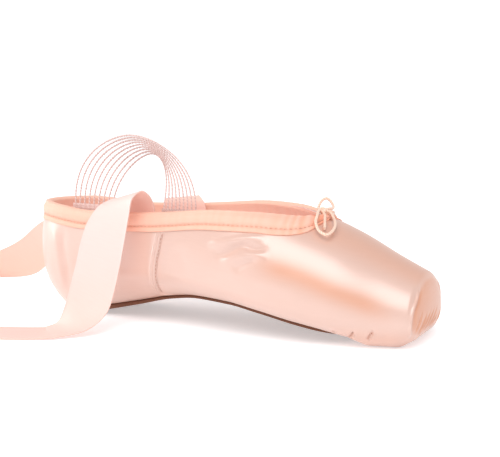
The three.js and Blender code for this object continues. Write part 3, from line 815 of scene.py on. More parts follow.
    def outward(self, share: np.ndarray, turn: np.ndarray, side: Side) -> np.ndarray:
        """The surface's outward direction, across its two parameters' own directions."""
        step = 1.5e-3
        share = np.clip(share, 6e-3, 1 - step)
        turn = np.clip(turn, -2 + step, 1 - 2 * step)
        run = self.point(share + step, turn, side) - self.point(share - step, turn, side)
        rise = self.point(share, turn + step, side) - self.point(share, turn - step, side)
        out = unit(np.cross(run, rise))
        return out if side is Side.NEAR else -out

    def throat(self, inset: float = 0.0) -> float:
        """The station where the collar closes at the throat."""
        x = np.linspace(140.0, 190.0, 5001)
        return float(x[np.argmax(self.crest.at(x) - inset <= self.topline.at(x))])


LAST = Last()


@dataclass(frozen=True)
class Crease:
    """A soft trough or ridge that follows a path over a surface.

    The surface moves by depth times the bell curve of the distance to the path, which tapers at both ends.
    """

    path: tuple[tuple[float, float, float], ...]
    depth: float
    width: float
    taper: float = 0.25

    def moves(self, points: np.ndarray) -> np.ndarray:
        """How far each point moves outwards, negative in a trough."""
        path = spline(np.array(self.path), 24)
        best = np.full(len(points), np.inf)
        where = np.zeros(len(points))
        for i, (a, b) in enumerate(zip(path[:-1], path[1:])):
            run = b - a
            t = np.clip((points - a) @ run / (run @ run), 0.0, 1.0)
            gap = ((points - a - t[:, None] * run) ** 2).sum(1)
            nearer = gap < best
            best = np.where(nearer, gap, best)
            where = np.where(nearer, (i + t) / (len(path) - 1), where)
        ends = smooth(0.0, self.taper, where) * smooth(0.0, self.taper, 1 - where)
        return self.depth * np.exp(-best / self.width**2) * ends


# ---------------------------------------------------------------------------------------------------------------
# The shoe's pieces


@dataclass
class Upper:
    """The hollow shell of satin and its lining, with its creases, seams and pleats."""

    wall: float = 1.8
    heel_columns: int = 44
    collar_columns: int = 100
    vamp_columns: int = 96
    seam_columns: int = 36
    toe_columns: int = 56
    outer_rows: tuple[int, int, int] = (50, 40, 10)
    inner_rows: tuple[int, int, int] = (20, 12, 5)
    waist_seam: tuple[tuple[float, float, float], ...] = (
        (99.9, -35.9, 50.0), (99.0, -36.1, 47.7), (97.6, -36.5, 40.7), (96.3, -36.5, 35.6), (95.5, -36.5, 30.8),
        (95.0, -35.6, 25.6), (94.3, -32.2, 20.5), (93.2, -26.5, 16.4),
    )
    creases: tuple[Crease, ...] = (
        Crease(((124.5, -37.3, 45.0), (131.5, -37.1, 46.1), (137.2, -36.8, 47.4), (147.9, -35.3, 49.2),
                (158.8, -32.7, 49.7)), 1.2, 2.0),
        Crease(((129.9, -38.2, 40.5), (136.4, -38.2, 41.6), (141.6, -37.6, 44.6), (146.1, -36.9, 46.0),
                (152.3, -36.9, 44.8), (160.6, -35.2, 45.5)), -1.3, 1.7),
        Crease(((132.9, -38.7, 37.1), (143.2, -38.8, 40.1), (150.9, -38.3, 41.7), (161.0, -37.3, 41.6)), 1.1, 1.9),
        Crease(((141.6, -39.7, 33.4), (147.9, -39.5, 37.5), (154.9, -38.6, 40.0)), -0.7, 1.5),
        Crease(((28.1, -27.8, 50.0), (30.2, -28.5, 35.6), (31.9, -28.5, 24.8), (31.6, -25.7, 9.0)), -0.9, 3.0),
        Crease(((21.8, -26.4, 50.0), (24.3, -27.5, 35.1), (26.9, -27.7, 24.4), (28.9, -26.1, 11.0)), 0.35, 2.4),
        Crease(((108, -37.0, 44.0), (112, -37.3, 34.0), (114, -35.6, 25.5)), -0.35, 4.0),
        Crease(((150, -40.6, 25.0), (163, -41.2, 24.0), (176, -40.0, 21.5)), -0.3, 3.5),
        Crease(((123.7, 36.4, 47.9), (138, 37.2, 45.0), (152, 37.4, 42.2)), -0.6, 2.6),
        Crease(((126, 37.9, 42.0), (140, 38.4, 40.0), (154, 38.6, 38.5)), 0.5, 2.6),
        Crease(((40.3, 29.4, 42.0), (38.2, 29.0, 30.6), (35.2, 28.2, 17.5)), -0.8, 3.6),
        Crease(((91.5, -27.5, 16.8), (93.4, -25.2, 15.4), (97.5, -24.0, 14.6)), 0.7, 1.2),
    )
    # A dark band below the shoulder's highlight, painted as shade through the tone.
    painted_shade_band: tuple[tuple[float, float, float], ...] = (
        (149.0, -38.9, 39.0), (174.1, -38.0, 34.2), (193.5, -36.0, 27.2), (211.1, -31, 20.5), (222.6, -28.4, 15.2),
    )
    platform_ridge: tuple[tuple[float, float, float], ...] = (
        (227.0, -13.8, 28.9), (227.4, -17.5, 26.0), (227.4, -20.5, 22.5), (226.9, -23.5, 19.5),
        (226.5, -25.3, 15.3), (226.4, -25.8, 11.7), (226.1, -25.1, 8.8), (225.4, -22.5, 6.0),
    )
    toe_pleats: tuple[tuple[tuple[float, float, float], ...], ...] = (
        ((202.3, -33.8, 9.6), (201.5, -33.3, 7.7), (199.3, -31.1, 5.3), (197.6, -28.5, 4.2)),
        ((211.2, -31.1, 9.9), (209.9, -31.0, 7.8), (208.3, -30.5, 5.8), (206.6, -28.0, 3.6)),
        ((192.4, -34.2, 8.8), (192.0, -33.4, 7.4), (190.8, -31.6, 6.4)),
    )
    platform_pleats: tuple[tuple[tuple[float, float, float], ...], ...] = (
        ((226.5, -21.7, 6.7), (228.0, -20.3, 9.8), (228.9, -17.8, 14.0), (229.1, -15.4, 18.2)),
        ((226.2, -18.3, 4.9), (227.9, -15.9, 7.5), (229.3, -12.7, 12.1), (229.9, -9.5, 17.0)),
        ((227.0, -16.8, 5.7), (228.4, -13.1, 8.2), (229.6, -8.4, 12.2), (230.0, -2.2, 17.2)),
        ((227.3, -13.2, 5.6), (228.6, -7.6, 8.1), (229.6, -2.8, 12.1), (230.0, 3.5, 17.5)),
        ((227.3, -8.5, 5.5), (228.6, -1.5, 8.2), (229.6, 4.0, 12.5), (229.9, 9.0, 18.0)),
        ((227.2, -3.0, 5.4), (228.6, 5.0, 8.6), (229.5, 10.5, 13.5)),
        ((226.6, 10.5, 5.6), (228.2, 14.5, 9.2), (229.2, 17.0, 14.0)),
    )

    def shares(self) -> np.ndarray:
        """Places along the last, closer together at the heel, the waist seam, the throat and the platform's edge."""
        heel = np.linspace(0.0, LAST.heel_share, self.heel_columns, endpoint=False)
        throat = float(LAST.share_at(np.array(LAST.throat())))
        back = throat - (throat - LAST.heel_share) * np.linspace(1.0, 0.0, self.collar_columns, endpoint=False) ** 1.6
        seam = LAST.share_at(np.linspace(88.5, 101.5, self.seam_columns))
        back = np.sort(np.concatenate([back, seam]))
        front = throat + (1 - LAST.toe_share - throat) * np.linspace(0.0, 1.0, self.vamp_columns, endpoint=False) ** 1.3
        toe = np.linspace(1 - LAST.toe_share, 1.0, self.toe_columns)
        return np.concatenate([heel, back, front, toe])

    def shell(self, inset: float, counts: tuple[int, int, int],
              turned: bool) -> tuple[np.ndarray, np.ndarray, np.ndarray]:
        """A grid of the form at an inset: from the near collar under the sole to the far collar.

        Args:
            inset: how far inside the upper's outer face.
            counts: rows above the widest line, below it and under the sole.
            turned: True makes the faces look the other way.

        Returns:
            Points, their pattern map and triangles.
        """
        share = self.shares()
        top = LAST.collar_turn(share, inset)
        high = np.linspace(1.0, 0.0, counts[0], endpoint=False)
        low = np.linspace(0.0, -1.0, counts[1], endpoint=False)
        under = np.linspace(-1.0, -2.0, counts[2])
        turn = np.concatenate([top[:, None] * high[None], np.broadcast_to(low, (len(share), len(low))),
                               np.broadcast_to(under, (len(share), len(under)))], axis=1)
        near = LAST.point(share[:, None], turn, Side.NEAR, inset)
        far = LAST.point(share[:, None], turn, Side.FAR, inset)[:, ::-1]
        points = np.concatenate([near, far[:, 1:]], axis=1)
        around = np.concatenate([np.zeros((len(points), 1)),
                                 np.cumsum(np.linalg.norm(np.diff(points, axis=1), axis=2), axis=1)], axis=1)
        middle = around[:, around.shape[1] // 2, None]
        pattern = np.stack([points[:, :, 0], around - middle], axis=-1)
        return points, pattern, grid_triangles(*points.shape[:2], turned=turned)

    def tone(self, points: np.ndarray) -> np.ndarray:
        """How deep the peach is, all of it painted shade: the crest, the platform, a dark band below the shoulder, low
        along the waist and under the toe.
        """
        x, y, z = points.T
        rise = (z - LAST.wide.at(x)) / (LAST.crest.at(x) - LAST.wide.at(x))
        # Painted shade: the top of the box is darker.
        crest = smooth(0.72, 1.0, rise) * smooth(150, 185, x)
        # Painted shade: the platform, which faces away from the light, is darker.
        platform = smooth(227.2, 228.8, x + 0.03 * np.abs(y))
        # Painted shade low along the waist, where the wall curves in under the arch, and low under the toe.
        waist = smooth(24.0, 12.0, z) * smooth(60, 95, x) * smooth(160, 120, x)
        low = smooth(12.0, 4.0, z) * smooth(185, 200, x)
        # Painted shade: the dark band below the shoulder's highlight, on both sides.
        band = sum(Crease(tuple((a, -side.value * b, c) for a, b, c in self.painted_shade_band), 0.8, 5.0, 0.25).moves(points)
                   for side in Side)
        return np.clip(0.6 * crest + 0.95 * platform + 0.45 * waist + 0.3 * low + band + 0.05, 0.0, 1.0)

    def relief(self, points: np.ndarray) -> np.ndarray:
        """How far the satin stands off the form: creases, seams, and pleats drawn in under the toe."""
        x, y, z = points.T
        moved = np.zeros(len(points))
        lines = list(self.creases)
        for side in Side:
            seam = np.array(self.waist_seam) * [1, -side.value, 1]
            for behind, depth, width in ((0.0, -0.7, 0.6), (1.2, 0.5, 0.6), (2.4, -0.35, 0.6), (3.6, 0.35, 0.6),
                                         (4.8, -0.25, 0.6)):
                path = tuple(tuple(place) for place in seam - [behind, 0.0, 0.0])
                lines.append(Crease(path, depth, width, 0.05))
            for pleat in self.toe_pleats:
                slit = np.array(pleat) * [1, -side.value, 1]
                lines.append(Crease(tuple(map(tuple, slit)), -1.2, 0.6, 0.3))
                lines.append(Crease(tuple(map(tuple, slit + [1.2, 0.0, 0.0])), 0.6, 0.8, 0.3))
        for number, pleat in enumerate(self.platform_pleats):
            fold = np.array(pleat)
            lines.append(Crease(pleat, -0.42 - 0.1 * (number % 2), 0.75, 0.45))
            lines.append(Crease(tuple(map(tuple, fold + [0.0, 1.9, 0.3])), 0.32, 0.9, 0.45))
        for side in Side:
            ridge = np.array(self.platform_ridge) * [1, -side.value, 1]
            share = 1.0 if side is Side.NEAR else 0.5
            lines.append(Crease(tuple(map(tuple, ridge)), 0.9 * share, 0.8, 0.2))
            lines.append(Crease(tuple(map(tuple, ridge + [0.9, -1.9 * side.value, 0.0])), -0.6 * share, 0.9, 0.2))
        back = ((21.5, 0, 57), (13, 0, 50), (1.5, 0, 38), (4, 0, 24), (12, 0, 12), (20, 0, 5))
        lines.append(Crease(back, 0.35, 1.1, 0.05))
        for line in lines:
            moved += line.moves(points)
        under = smooth(12.0, 4.0, z) * smooth(190.0, 200.0, x)
        fold = np.sin(x * 0.95 + 1.3 * np.sin(y * 0.21)) * smooth(24.0, 29.0, np.abs(y)) * smooth(221.0, 214.0, x)
        front = np.sin(y * 0.9 + 0.8 * np.sin(y * 0.37)) * smooth(214.0, 221.0, x)
        return moved + under * (0.12 * fold + 0.2 * front)

    def build(self) -> bpy.types.Object:
        """The outer satin, the lining and the edge between them as one closed shell."""
        outer, outer_map, outer_faces = self.shell(0.0, self.outer_rows, True)
        inner, inner_map, inner_faces = self.shell(self.wall, self.inner_rows, False)
        columns = len(outer)
        flat, skin_map = outer.reshape(-1, 3), outer_map.reshape(-1, 2)
        satin = Skin(flat, outer_faces, skin_map, self.tone(flat), np.zeros(len(outer_faces)))
        body = satin.welded()
        body.points = body.points + body.normals() * self.relief(body.points)[:, None]
        keep = columns - self.vamp_columns - self.toe_columns
        strips = []
        for row, turned in ((0, True), (-1, False)):
            moved = self.settled(outer[:keep + 1, row], satin, body)
            edge = np.stack([moved, inner[:keep + 1, row]], axis=1)
            faces = grid_triangles(keep + 1, 2, turned=not turned)
            strips.append(Skin(edge.reshape(-1, 3), faces, np.zeros((len(faces), 3, 2)),
                               np.full(2 * (keep + 1), 0.3), np.zeros(len(faces))))
        inside = Skin(inner.reshape(-1, 3), inner_faces, inner_map.reshape(-1, 2)[inner_faces],
                      np.zeros(inner.size // 3), np.ones(len(inner_faces)))
        whole = joined([body, *strips, inside])
        return whole.shown("satin_upper", [PEACH_SATIN.material(), LINING.material()], 50.0)

    def settled(self, places: np.ndarray, raw: Skin, moved: Skin) -> np.ndarray:
        """Where the edge points of the plain form went when the relief was added."""
        keys = np.round(raw.points, 4)
        _, first = np.unique(keys, axis=0, return_index=True)
        known = keys[first]
        order = np.lexsort(known.T[::-1])
        look = known[order]
        want = np.round(places, 4)
        text = look.view([("", look.dtype)] * 3).ravel()
        index = np.searchsorted(text, np.ascontiguousarray(want).view([("", want.dtype)] * 3).ravel())
        return moved.points[order[index]]

    def seam_stitches(self) -> bpy.types.Object:
        """Dark thread along the waist seams."""
        rows = []
        for side in Side:
            seam = np.array(self.waist_seam) * [1, -side.value, 1]
            path = spline(seam, 200)
            rows.append(self.stitch_row(path, np.array([0.0, side.value, 0.1]), 2.0, 1.5, 0.3))
        return joined(rows).shown("seam_stitches", [SEAM_THREAD.material()])

    def stitch_row(self, path: np.ndarray, out: np.ndarray, pitch: float, length: float, thick: float) -> Skin:
        """Stitches at an even pitch along a path."""
        run = np.concatenate([[0.0], np.cumsum(np.linalg.norm(np.diff(path, axis=0), axis=1))])
        at = np.arange(pitch, run[-1] - pitch / 2, pitch)
        along = np.gradient(path, axis=0)
        places = np.stack([np.interp(at, run, path[:, k]) for k in range(3)], 1)
        heading = np.stack([np.interp(at, run, along[:, k]) for k in range(3)], 1)
        return stitches(places, heading, np.broadcast_to(out, places.shape), length, thick)


@dataclass
class Sole:
    """The leather outsole and the sock inside, both carried along the last's underside."""

    outsole_end: float = 200.0
    outsole_tip: float = 24.0
    insole_end: float = 182.0
    insole_tip: float = 20.0
    sock_thick: float = 1.5
    wall: float = 1.8
    gap: float = 0.3

    def outline(self, end: float, tip: float, inset: float, margin: float) -> tuple[np.ndarray, np.ndarray, np.ndarray]:
        """The slab's outline.

        Args:
            end: station of its front.
            tip: length of its rounded front.
            inset: form that it lies on.
            margin: how far its edge stays inside the form's.

        Returns:
            Stations on the form, the same leaned with the heel, and half widths.
        """
        heel = np.linspace(0.012, LAST.heel_share, 40, endpoint=False)
        x_heel, width, _ = LAST.along(heel, inset)
        x_mid = np.linspace(inset + LAST.heel_round, end - tip, 90, endpoint=False)
        front = np.sin(np.linspace(0.0, math.pi / 2, 30))
        x = np.concatenate([x_heel, x_mid, end - tip + tip * front])
        share = np.concatenate([width, np.ones(90), np.sqrt(np.maximum(1 - front**2.2, 0.0))])
        half = (LAST.edge.at(x) - 0.6 * inset - margin) * share
        return x, LAST.leaned(x, LAST.underside(x) + inset), half

    def solid(self, outline: tuple[np.ndarray, np.ndarray, np.ndarray], low: np.ndarray, high: np.ndarray,
              round_off: float) -> Skin:
        """A closed slab between two heights with its rim rounded by an ellipse.

        Args:
            outline: from the method of that name.
            low: height of the lower face at each station.
            high: height of the upper face.
            round_off: how far the rim's rounding reaches in.

        Returns:
            The skin, whose tone is 1 on the rim.
        """
        x, place, half = outline
        across = np.linspace(-1.0, 1.0, 25)
        rim = np.linspace(-math.pi / 2, math.pi / 2, 9)
        lower = across
        y_low = lower[None] * np.maximum(half - round_off, 0.2)[:, None]
        reach = np.maximum(half - round_off, 0.2)[:, None] + np.minimum(round_off, half)[:, None] * np.cos(rim)[None]
        middle, thick = (low + high)[:, None] / 2, (high - low)[:, None] / 2
        z_rim = middle + thick * np.sin(rim)[None]
        y = np.concatenate([y_low, reach, y_low[:, ::-1], -reach[:, ::-1]], axis=1)
        z = np.concatenate([np.repeat(low[:, None], 25, 1), z_rim, np.repeat(high[:, None], 25, 1), z_rim[:, ::-1]],
                           axis=1)
        tone = np.concatenate([np.zeros(25), np.ones(9), np.zeros(25), np.ones(9)])
        points = np.stack([np.broadcast_to(place[:, None], y.shape), y, z], axis=-1)
        points = np.concatenate([points, points[:, :1]], axis=1)
        tone = np.broadcast_to(np.append(tone, tone[0]), points.shape[:2])
        columns, rows = points.shape[:2]
        faces = [grid_triangles(columns, rows)]
        for k, turned in ((0, False), (columns - 1, True)):
            ring = k * rows + np.arange(rows - 1)
            fan = np.stack([np.full(rows - 3, ring[0]), ring[1:-1], ring[2:]], 1)
            faces.append(fan[:, ::-1] if turned else fan)
        flat = points.reshape(-1, 3)
        skin = Skin(flat, np.concatenate(faces), flat[:, :2].copy(), tone.reshape(-1).copy())
        return skin if signed_volume(skin) > 0 else Skin(flat, skin.triangles[:, ::-1], skin.pattern, skin.tone)

    def outsole(self) -> bpy.types.Object:
        """The leather sole."""
        outline = self.outline(self.outsole_end, self.outsole_tip, 0.0, 0.4)
        x = outline[0]
        skin = self.solid(outline, LAST.floor.at(x), LAST.underside(x) - self.gap, 0.7)
        piece = skin.shown("leather_outsole", [SOLE_LEATHER.material()], 50.0)
        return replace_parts(piece, "outsole")

    def sock(self) -> bpy.types.Object:
        """The cloth sock over the board inside."""
        outline = self.outline(self.insole_end, self.insole_tip, self.wall, 0.8)
        x = outline[0]
        base = LAST.underside(x) + self.wall + self.gap
        piece = self.solid(outline, base, base + self.sock_thick, 0.8).shown("sock", [SOCK.material()], 50.0)
        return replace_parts(piece, "insole")


@dataclass
class Casing:
    """The bound edge round the collar, with the drawstring's tunnel, gathers at the throat and its stitching.

    Its outer leg is the stretch of the form between the topline and a lower line. It folds over the wall's edge,
    square to the wall, and comes down inside.
    """

    wall: float = 1.8
    proud: float = 1.1
    loop_columns: int = 420
    leg_rows: int = 22
    collar: Profile = Profile((34, 60, 90, 120, 150, 160, 166, 169, 170.6, 171.3, 171.62),
                              (34, 60, 90, 120, 150.5, 161.5, 168.5, 172.9, 175.2, 176.4, 177.2))
    lower: Profile = Profile((0, 13, 44, 90, 125, 150, 158, 165, 171, 172.9, 174.2, 175.2, 175.9, 176.6, 177.2),
                             (51.6, 51.0, 48.1, 49.4, 52.2, 51.9, 51.2, 51, 51.6, 52.1, 52.7, 53.7, 54.9, 56.2, 60))

    def loop(self) -> tuple[np.ndarray, np.ndarray, np.ndarray, np.ndarray]:
        """Half of the collar, from the heel to the throat.

        Returns:
            Share and turn of the topline, and share and turn of the casing's lower edge.
        """
        heel = np.linspace(0.0, 1.0, 70, endpoint=False) * LAST.heel_share
        throat = LAST.throat()
        t = np.linspace(1.0, 0.0, self.loop_columns // 2 - 70)
        x = throat - (throat - LAST.heel_round) * t**2.2
        share = np.concatenate([heel, LAST.share_at(x)])
        top = LAST.collar_turn(share)
        top[-1] = 1.0
        x_low = np.concatenate([LAST.along(heel, 0.0)[0], self.collar.at(x)])
        share_low = np.concatenate([heel, LAST.share_at(x_low[len(heel):])])
        low = LAST.turn_at(share_low, self.lower.at(x_low))
        low[-1] = 1.0
        return share, top, share_low, low

    def section(self) -> tuple[np.ndarray, np.ndarray]:
        """The casing's profile: depth below the topline as a share of the band, and height off the wall's middle.

        The outer leg rises from its lower edge with a tunnel's swell under the fold, turns over in a half circle
        and comes down inside.
        """
        down = np.linspace(1.0, 0.0, self.leg_rows)
        swell = 0.55 + 0.95 * np.exp(-((down - 0.33) / 0.3) ** 2) - 0.75 * np.exp(-((down - 0.7) / 0.07) ** 2)
        fold = np.linspace(0.0, math.pi, 9)[1:-1]
        inside = np.linspace(0.0, 1.0, 10)
        return (np.concatenate([down, -0.16 * np.sin(fold), inside]),
                np.concatenate([swell, np.cos(fold) * 1.1, np.full(10, -1.0)]))

    def build(self) -> bpy.types.Object:
        """The casing as a folded sheet with gathers, given its thickness by a modifier."""
        share, top, share_low, low = self.loop()
        down, off = self.section()
        halves = []
        for side in Side:
            reach = np.clip(down, 0.0, 1.0)
            s = share[:, None] + (share_low - share)[:, None] * reach[None]
            q = top[:, None] + (low - top)[:, None] * reach[None]
            base = LAST.point(s, q, side)
            out = LAST.outward(s, q, side)
            edge = LAST.point(share, top, side)
            inward = unit(LAST.point(share * 0.97 + share_low * 0.03, top + (low - top) * 0.03, side) - edge)
            middle = -self.wall / 2
            depth = np.where(off >= 0, self.wall / 2 + self.proud * off, (self.wall / 2 + self.proud) * off)
            turned_over = (down < 0) | (np.arange(len(down)) >= self.leg_rows)
            depth = np.where(turned_over, (self.wall / 2 + self.proud) * np.clip(off, -1.0, 1.0), depth)
            points = base + out * (middle + depth)[None, :, None]
            points = points + inward[:, None] * np.minimum(down, 0.0)[None, :, None] * 9.0
            run = np.concatenate([[0.0], np.cumsum(np.linalg.norm(np.diff(edge, axis=0), axis=1))])
            left = run[-1] - run
            strength = 0.03 + 0.5 * np.exp(-(left / 20.0) ** 2) + 0.05 * np.exp(-((left - 60) / 30) ** 2)
            phase = left * 1.25 + 1.7 * np.sin(left * 0.31) + (0.9 if side is Side.FAR else 0.0)
            loose = np.exp(-((down - 0.3) / 0.45) ** 2)
            points = points + out * ((strength * np.sin(phase))[:, None] * loose[None])[..., None]
            points[-1, :, 1] = 0.0
            points[0, :, 1] = 0.0
            halves.append((points, left, strength * np.sin(phase)))
        near, far = halves[0][0], halves[1][0]
        whole = np.concatenate([near[::-1], far[1:]])
        count, rows = whole.shape[:2]
        run = np.concatenate([halves[0][1][::-1], -halves[1][1][1:]])
        around = np.concatenate([[0.0], np.cumsum(np.full(rows - 1, 0.9))])
        pattern = np.stack(np.broadcast_arrays(run[:, None], around[None]), -1)
        folds = np.concatenate([halves[0][2][::-1], halves[1][2][1:]])
        gathered = np.exp(-(np.abs(run) / 20.0) ** 2)
        # Painted shade on the binding: deeper in the troughs of the gathers, near the throat where they bunch, and near
        # the lower edges of both legs.
        tone = np.clip(0.3 + (0.3 * gathered - 0.9 * folds)[:, None] + 0.1 * (down[None] > 0.75), 0, 1)
        flat = whole.reshape(-1, 3)
        skin = Skin(flat, grid_triangles(count, rows), pattern.reshape(-1, 2), np.broadcast_to(tone, (count, rows)).reshape(-1))
        middle_out = skin.normals()[(count // 4) * rows + 3]
        if middle_out @ LAST.outward(np.array(0.5), np.array(0.4), Side.NEAR) < 0:
            skin.triangles = skin.triangles[:, ::-1]
        piece = skin.shown("bound_collar", [BINDING_SATIN.material()], 60.0)
        wall = piece.modifiers.new("cloth", "SOLIDIFY")
        wall.thickness, wall.offset = 0.55 * MM, -1.0
        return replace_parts(piece, "drawstring_casing")

    def stitching(self) -> bpy.types.Object:
        """The row of stitches that closes the tunnel, on both sides."""
        share, top, share_low, low = self.loop()
        rows = []
        for side in Side:
            s = share + (share_low - share) * 0.7
            q = top + (low - top) * 0.7
            path = LAST.point(s, q, side)
            out = LAST.outward(s, q, side)
            path[-1, 1] = path[0, 1] = 0.0
            run = np.concatenate([[0.0], np.cumsum(np.linalg.norm(np.diff(path, axis=0), axis=1))])
            at = np.arange(1.2, run[-1], 2.4)
            put = lambda v: np.stack([np.interp(at, run, v[:, k]) for k in range(3)], 1)  # noqa: E731
            heading = np.gradient(path, axis=0)
            rows.append(stitches(put(path) + put(out) * 0.35, put(heading), put(out), 1.7, 0.35))
        return joined(rows).shown("collar_stitches", [PALE_THREAD.material()])


@dataclass
class Ribbon:
    """A satin ribbon: sewn inside the wall, rolled over the collar and running out over the floor."""

    name: str
    node: str
    edges: tuple[tuple[float, float, float, float, float, float], ...]
    heading: float
    bend: float
    width: float = 24.5
    thick: float = 0.4
    length: float = 450.0
    solid_thick: float = 0.6

    def lines(self) -> tuple[np.ndarray, np.ndarray]:
        """The two edges: a smooth path through the table, then an arc on the floor.

        Returns:
            Left and right edge, point by point.
        """
        rows = np.array(self.edges)
        left, right = spline(rows[:, :3], 150), spline(rows[:, 3:], 150)
        middle = (left + right) / 2
        done = np.linalg.norm(np.diff(middle, axis=0), axis=1).sum()
        count = int((self.length - done) / 2.0)
        stride = (self.length - done) / count
        turn = np.radians(self.heading + self.bend * stride / 100 * np.arange(count))
        x = middle[-1, 0] + stride * np.cumsum(np.cos(turn))
        y = middle[-1, 1] + stride * np.cumsum(np.sin(turn))
        level = self.solid_thick * 0.55
        z = level + (middle[-1, 2] - level) * 0.75 ** np.arange(1, count + 1)
        path = np.stack([x, y, z], axis=1)
        half = np.stack([np.sin(turn), -np.cos(turn), np.zeros(count)], axis=1) * self.width / 2
        return np.concatenate([left, path + half]), np.concatenate([right, path - half])

    def build(self, tones: tuple[float, float]) -> bpy.types.Object:
        """The ribbon as a sheet with slightly raised woven edges.

        Args:
            tones: how much painted shade each of its two faces gets.

        Returns:
            The piece.
        """
        left, right = self.lines()
        across = np.concatenate([[0.0, 0.02, 0.04, 0.06], np.linspace(0.1, 0.9, 11), [0.94, 0.96, 0.98, 1.0]])
        sheet = left[:, None] * (1 - across)[None, :, None] + right[:, None] * across[None, :, None]
        run = np.concatenate([[0.0], np.cumsum(np.linalg.norm(np.diff((left + right) / 2, axis=0), axis=1))])
        pattern = np.stack(np.broadcast_arrays(across[None] * self.width, run[:, None]), -1)
        rows, columns = sheet.shape[:2]
        flat = sheet.reshape(-1, 3)
        upper = Skin(flat, grid_triangles(rows, columns), pattern.reshape(-1, 2))
        out = upper.normals() * self.thick / 2
        edge = 1 + 0.7 * (np.abs(across - 0.5) > 0.465)
        lift = out * np.broadcast_to(edge, (rows, columns)).reshape(-1, 1)
        face = grid_triangles(rows, columns)
        # Painted shade: both faces deepen towards the floor.
        low = 0.3 * smooth(45.0, 5.0, flat[:, 2])
        parts = [
            Skin(flat + lift, face, upper.pattern, tones[0] + low),
            Skin(flat - lift, face[:, ::-1], upper.pattern, tones[1] + low),
        ]
        grid = lift.reshape(rows, columns, 3)
        for j, turned in ((0, True), (columns - 1, False)):
            rim = np.stack([sheet[:, j] - grid[:, j], sheet[:, j] + grid[:, j]], axis=1).reshape(-1, 3)
            parts.append(Skin(rim, grid_triangles(rows, 2, turned=turned), np.zeros((len(rim), 2)), np.full(len(rim), 0.3)))
        for i, turned in ((0, True), (rows - 1, False)):
            rim = np.stack([sheet[i] - grid[i], sheet[i] + grid[i]], axis=0).reshape(-1, 3)
            parts.append(Skin(rim, grid_triangles(2, columns, turned=turned), np.zeros((len(rim), 2)), np.full(len(rim), 0.3)))
        whole = joined(parts)
        if signed_volume(whole) < 0:
            whole.triangles = whole.triangles[:, ::-1]
        piece = whole.shown(self.name, [RIBBON_SATIN.material()], 60.0)
        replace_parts(piece, self.node)
        return piece


NEAR_RIBBON = Ribbon("near_ribbon", "ribbon_near", (
    (66, -28, 44, 90.4, -30.9, 45),
    (66, -27.2, 54, 90.4, -29.9, 55),
    (66.4, -27, 60.2, 90.6, -29.9, 62),
    (68, -30.5, 64.6, 90, -33.5, 68),
    (69, -35.5, 65.5, 88.5, -38.5, 70.6),
    (65, -42.5, 62, 86, -42.6, 67),
    (61, -47, 54, 84.8, -44.4, 58),
    (59.5, -51, 44, 83.6, -46.5, 46),
    (58.8, -54.5, 33, 82.6, -49.5, 33.5),
    (58, -58.5, 22, 81.9, -53.5, 21.5),
    (56.5, -61.5, 11.5, 80.6, -59, 10.5),
    (53, -63, 4, 75.5, -68.5, 3.4),
    (46, -65, 0.9, 64.5, -80.5, 0.8),
), 205.0, -18.0)

FAR_RIBBON = Ribbon("far_ribbon", "ribbon_far", (
    (86, 30.9, 45, 61.6, 28, 44),
    (87.4, 29.9, 55, 61.6, 27.3, 54),
    (86.4, 29.8, 59.4, 61.7, 26.6, 59.4),
    (80.5, 33.6, 63, 58.5, 31.5, 60.4),
    (78, 42, 58, 54, 38.5, 57.6),
    (66, 48, 39.5, 48, 45.5, 56),
    (36.9, 51.5, 28.8, 35.1, 50.5, 53.2),
    (7.1, 51, 26.3, 4.9, 49.5, 50.7),
    (-17, 49, 23.1, -23, 47.5, 46.9),
    (-34.2, 47.5, 19, -45.8, 45.5, 40.5),
    (-52, 45.5, 5.6, -61, 38.5, 27.2),
    (-74, 44, 1.4, -80, 28, 16.6),
    (-98, 43.5, 0.8, -101, 19.8, 4),
    (-122, 44.5, 0.7, -124, 20, 0.7),
), 180.0, 8.0)


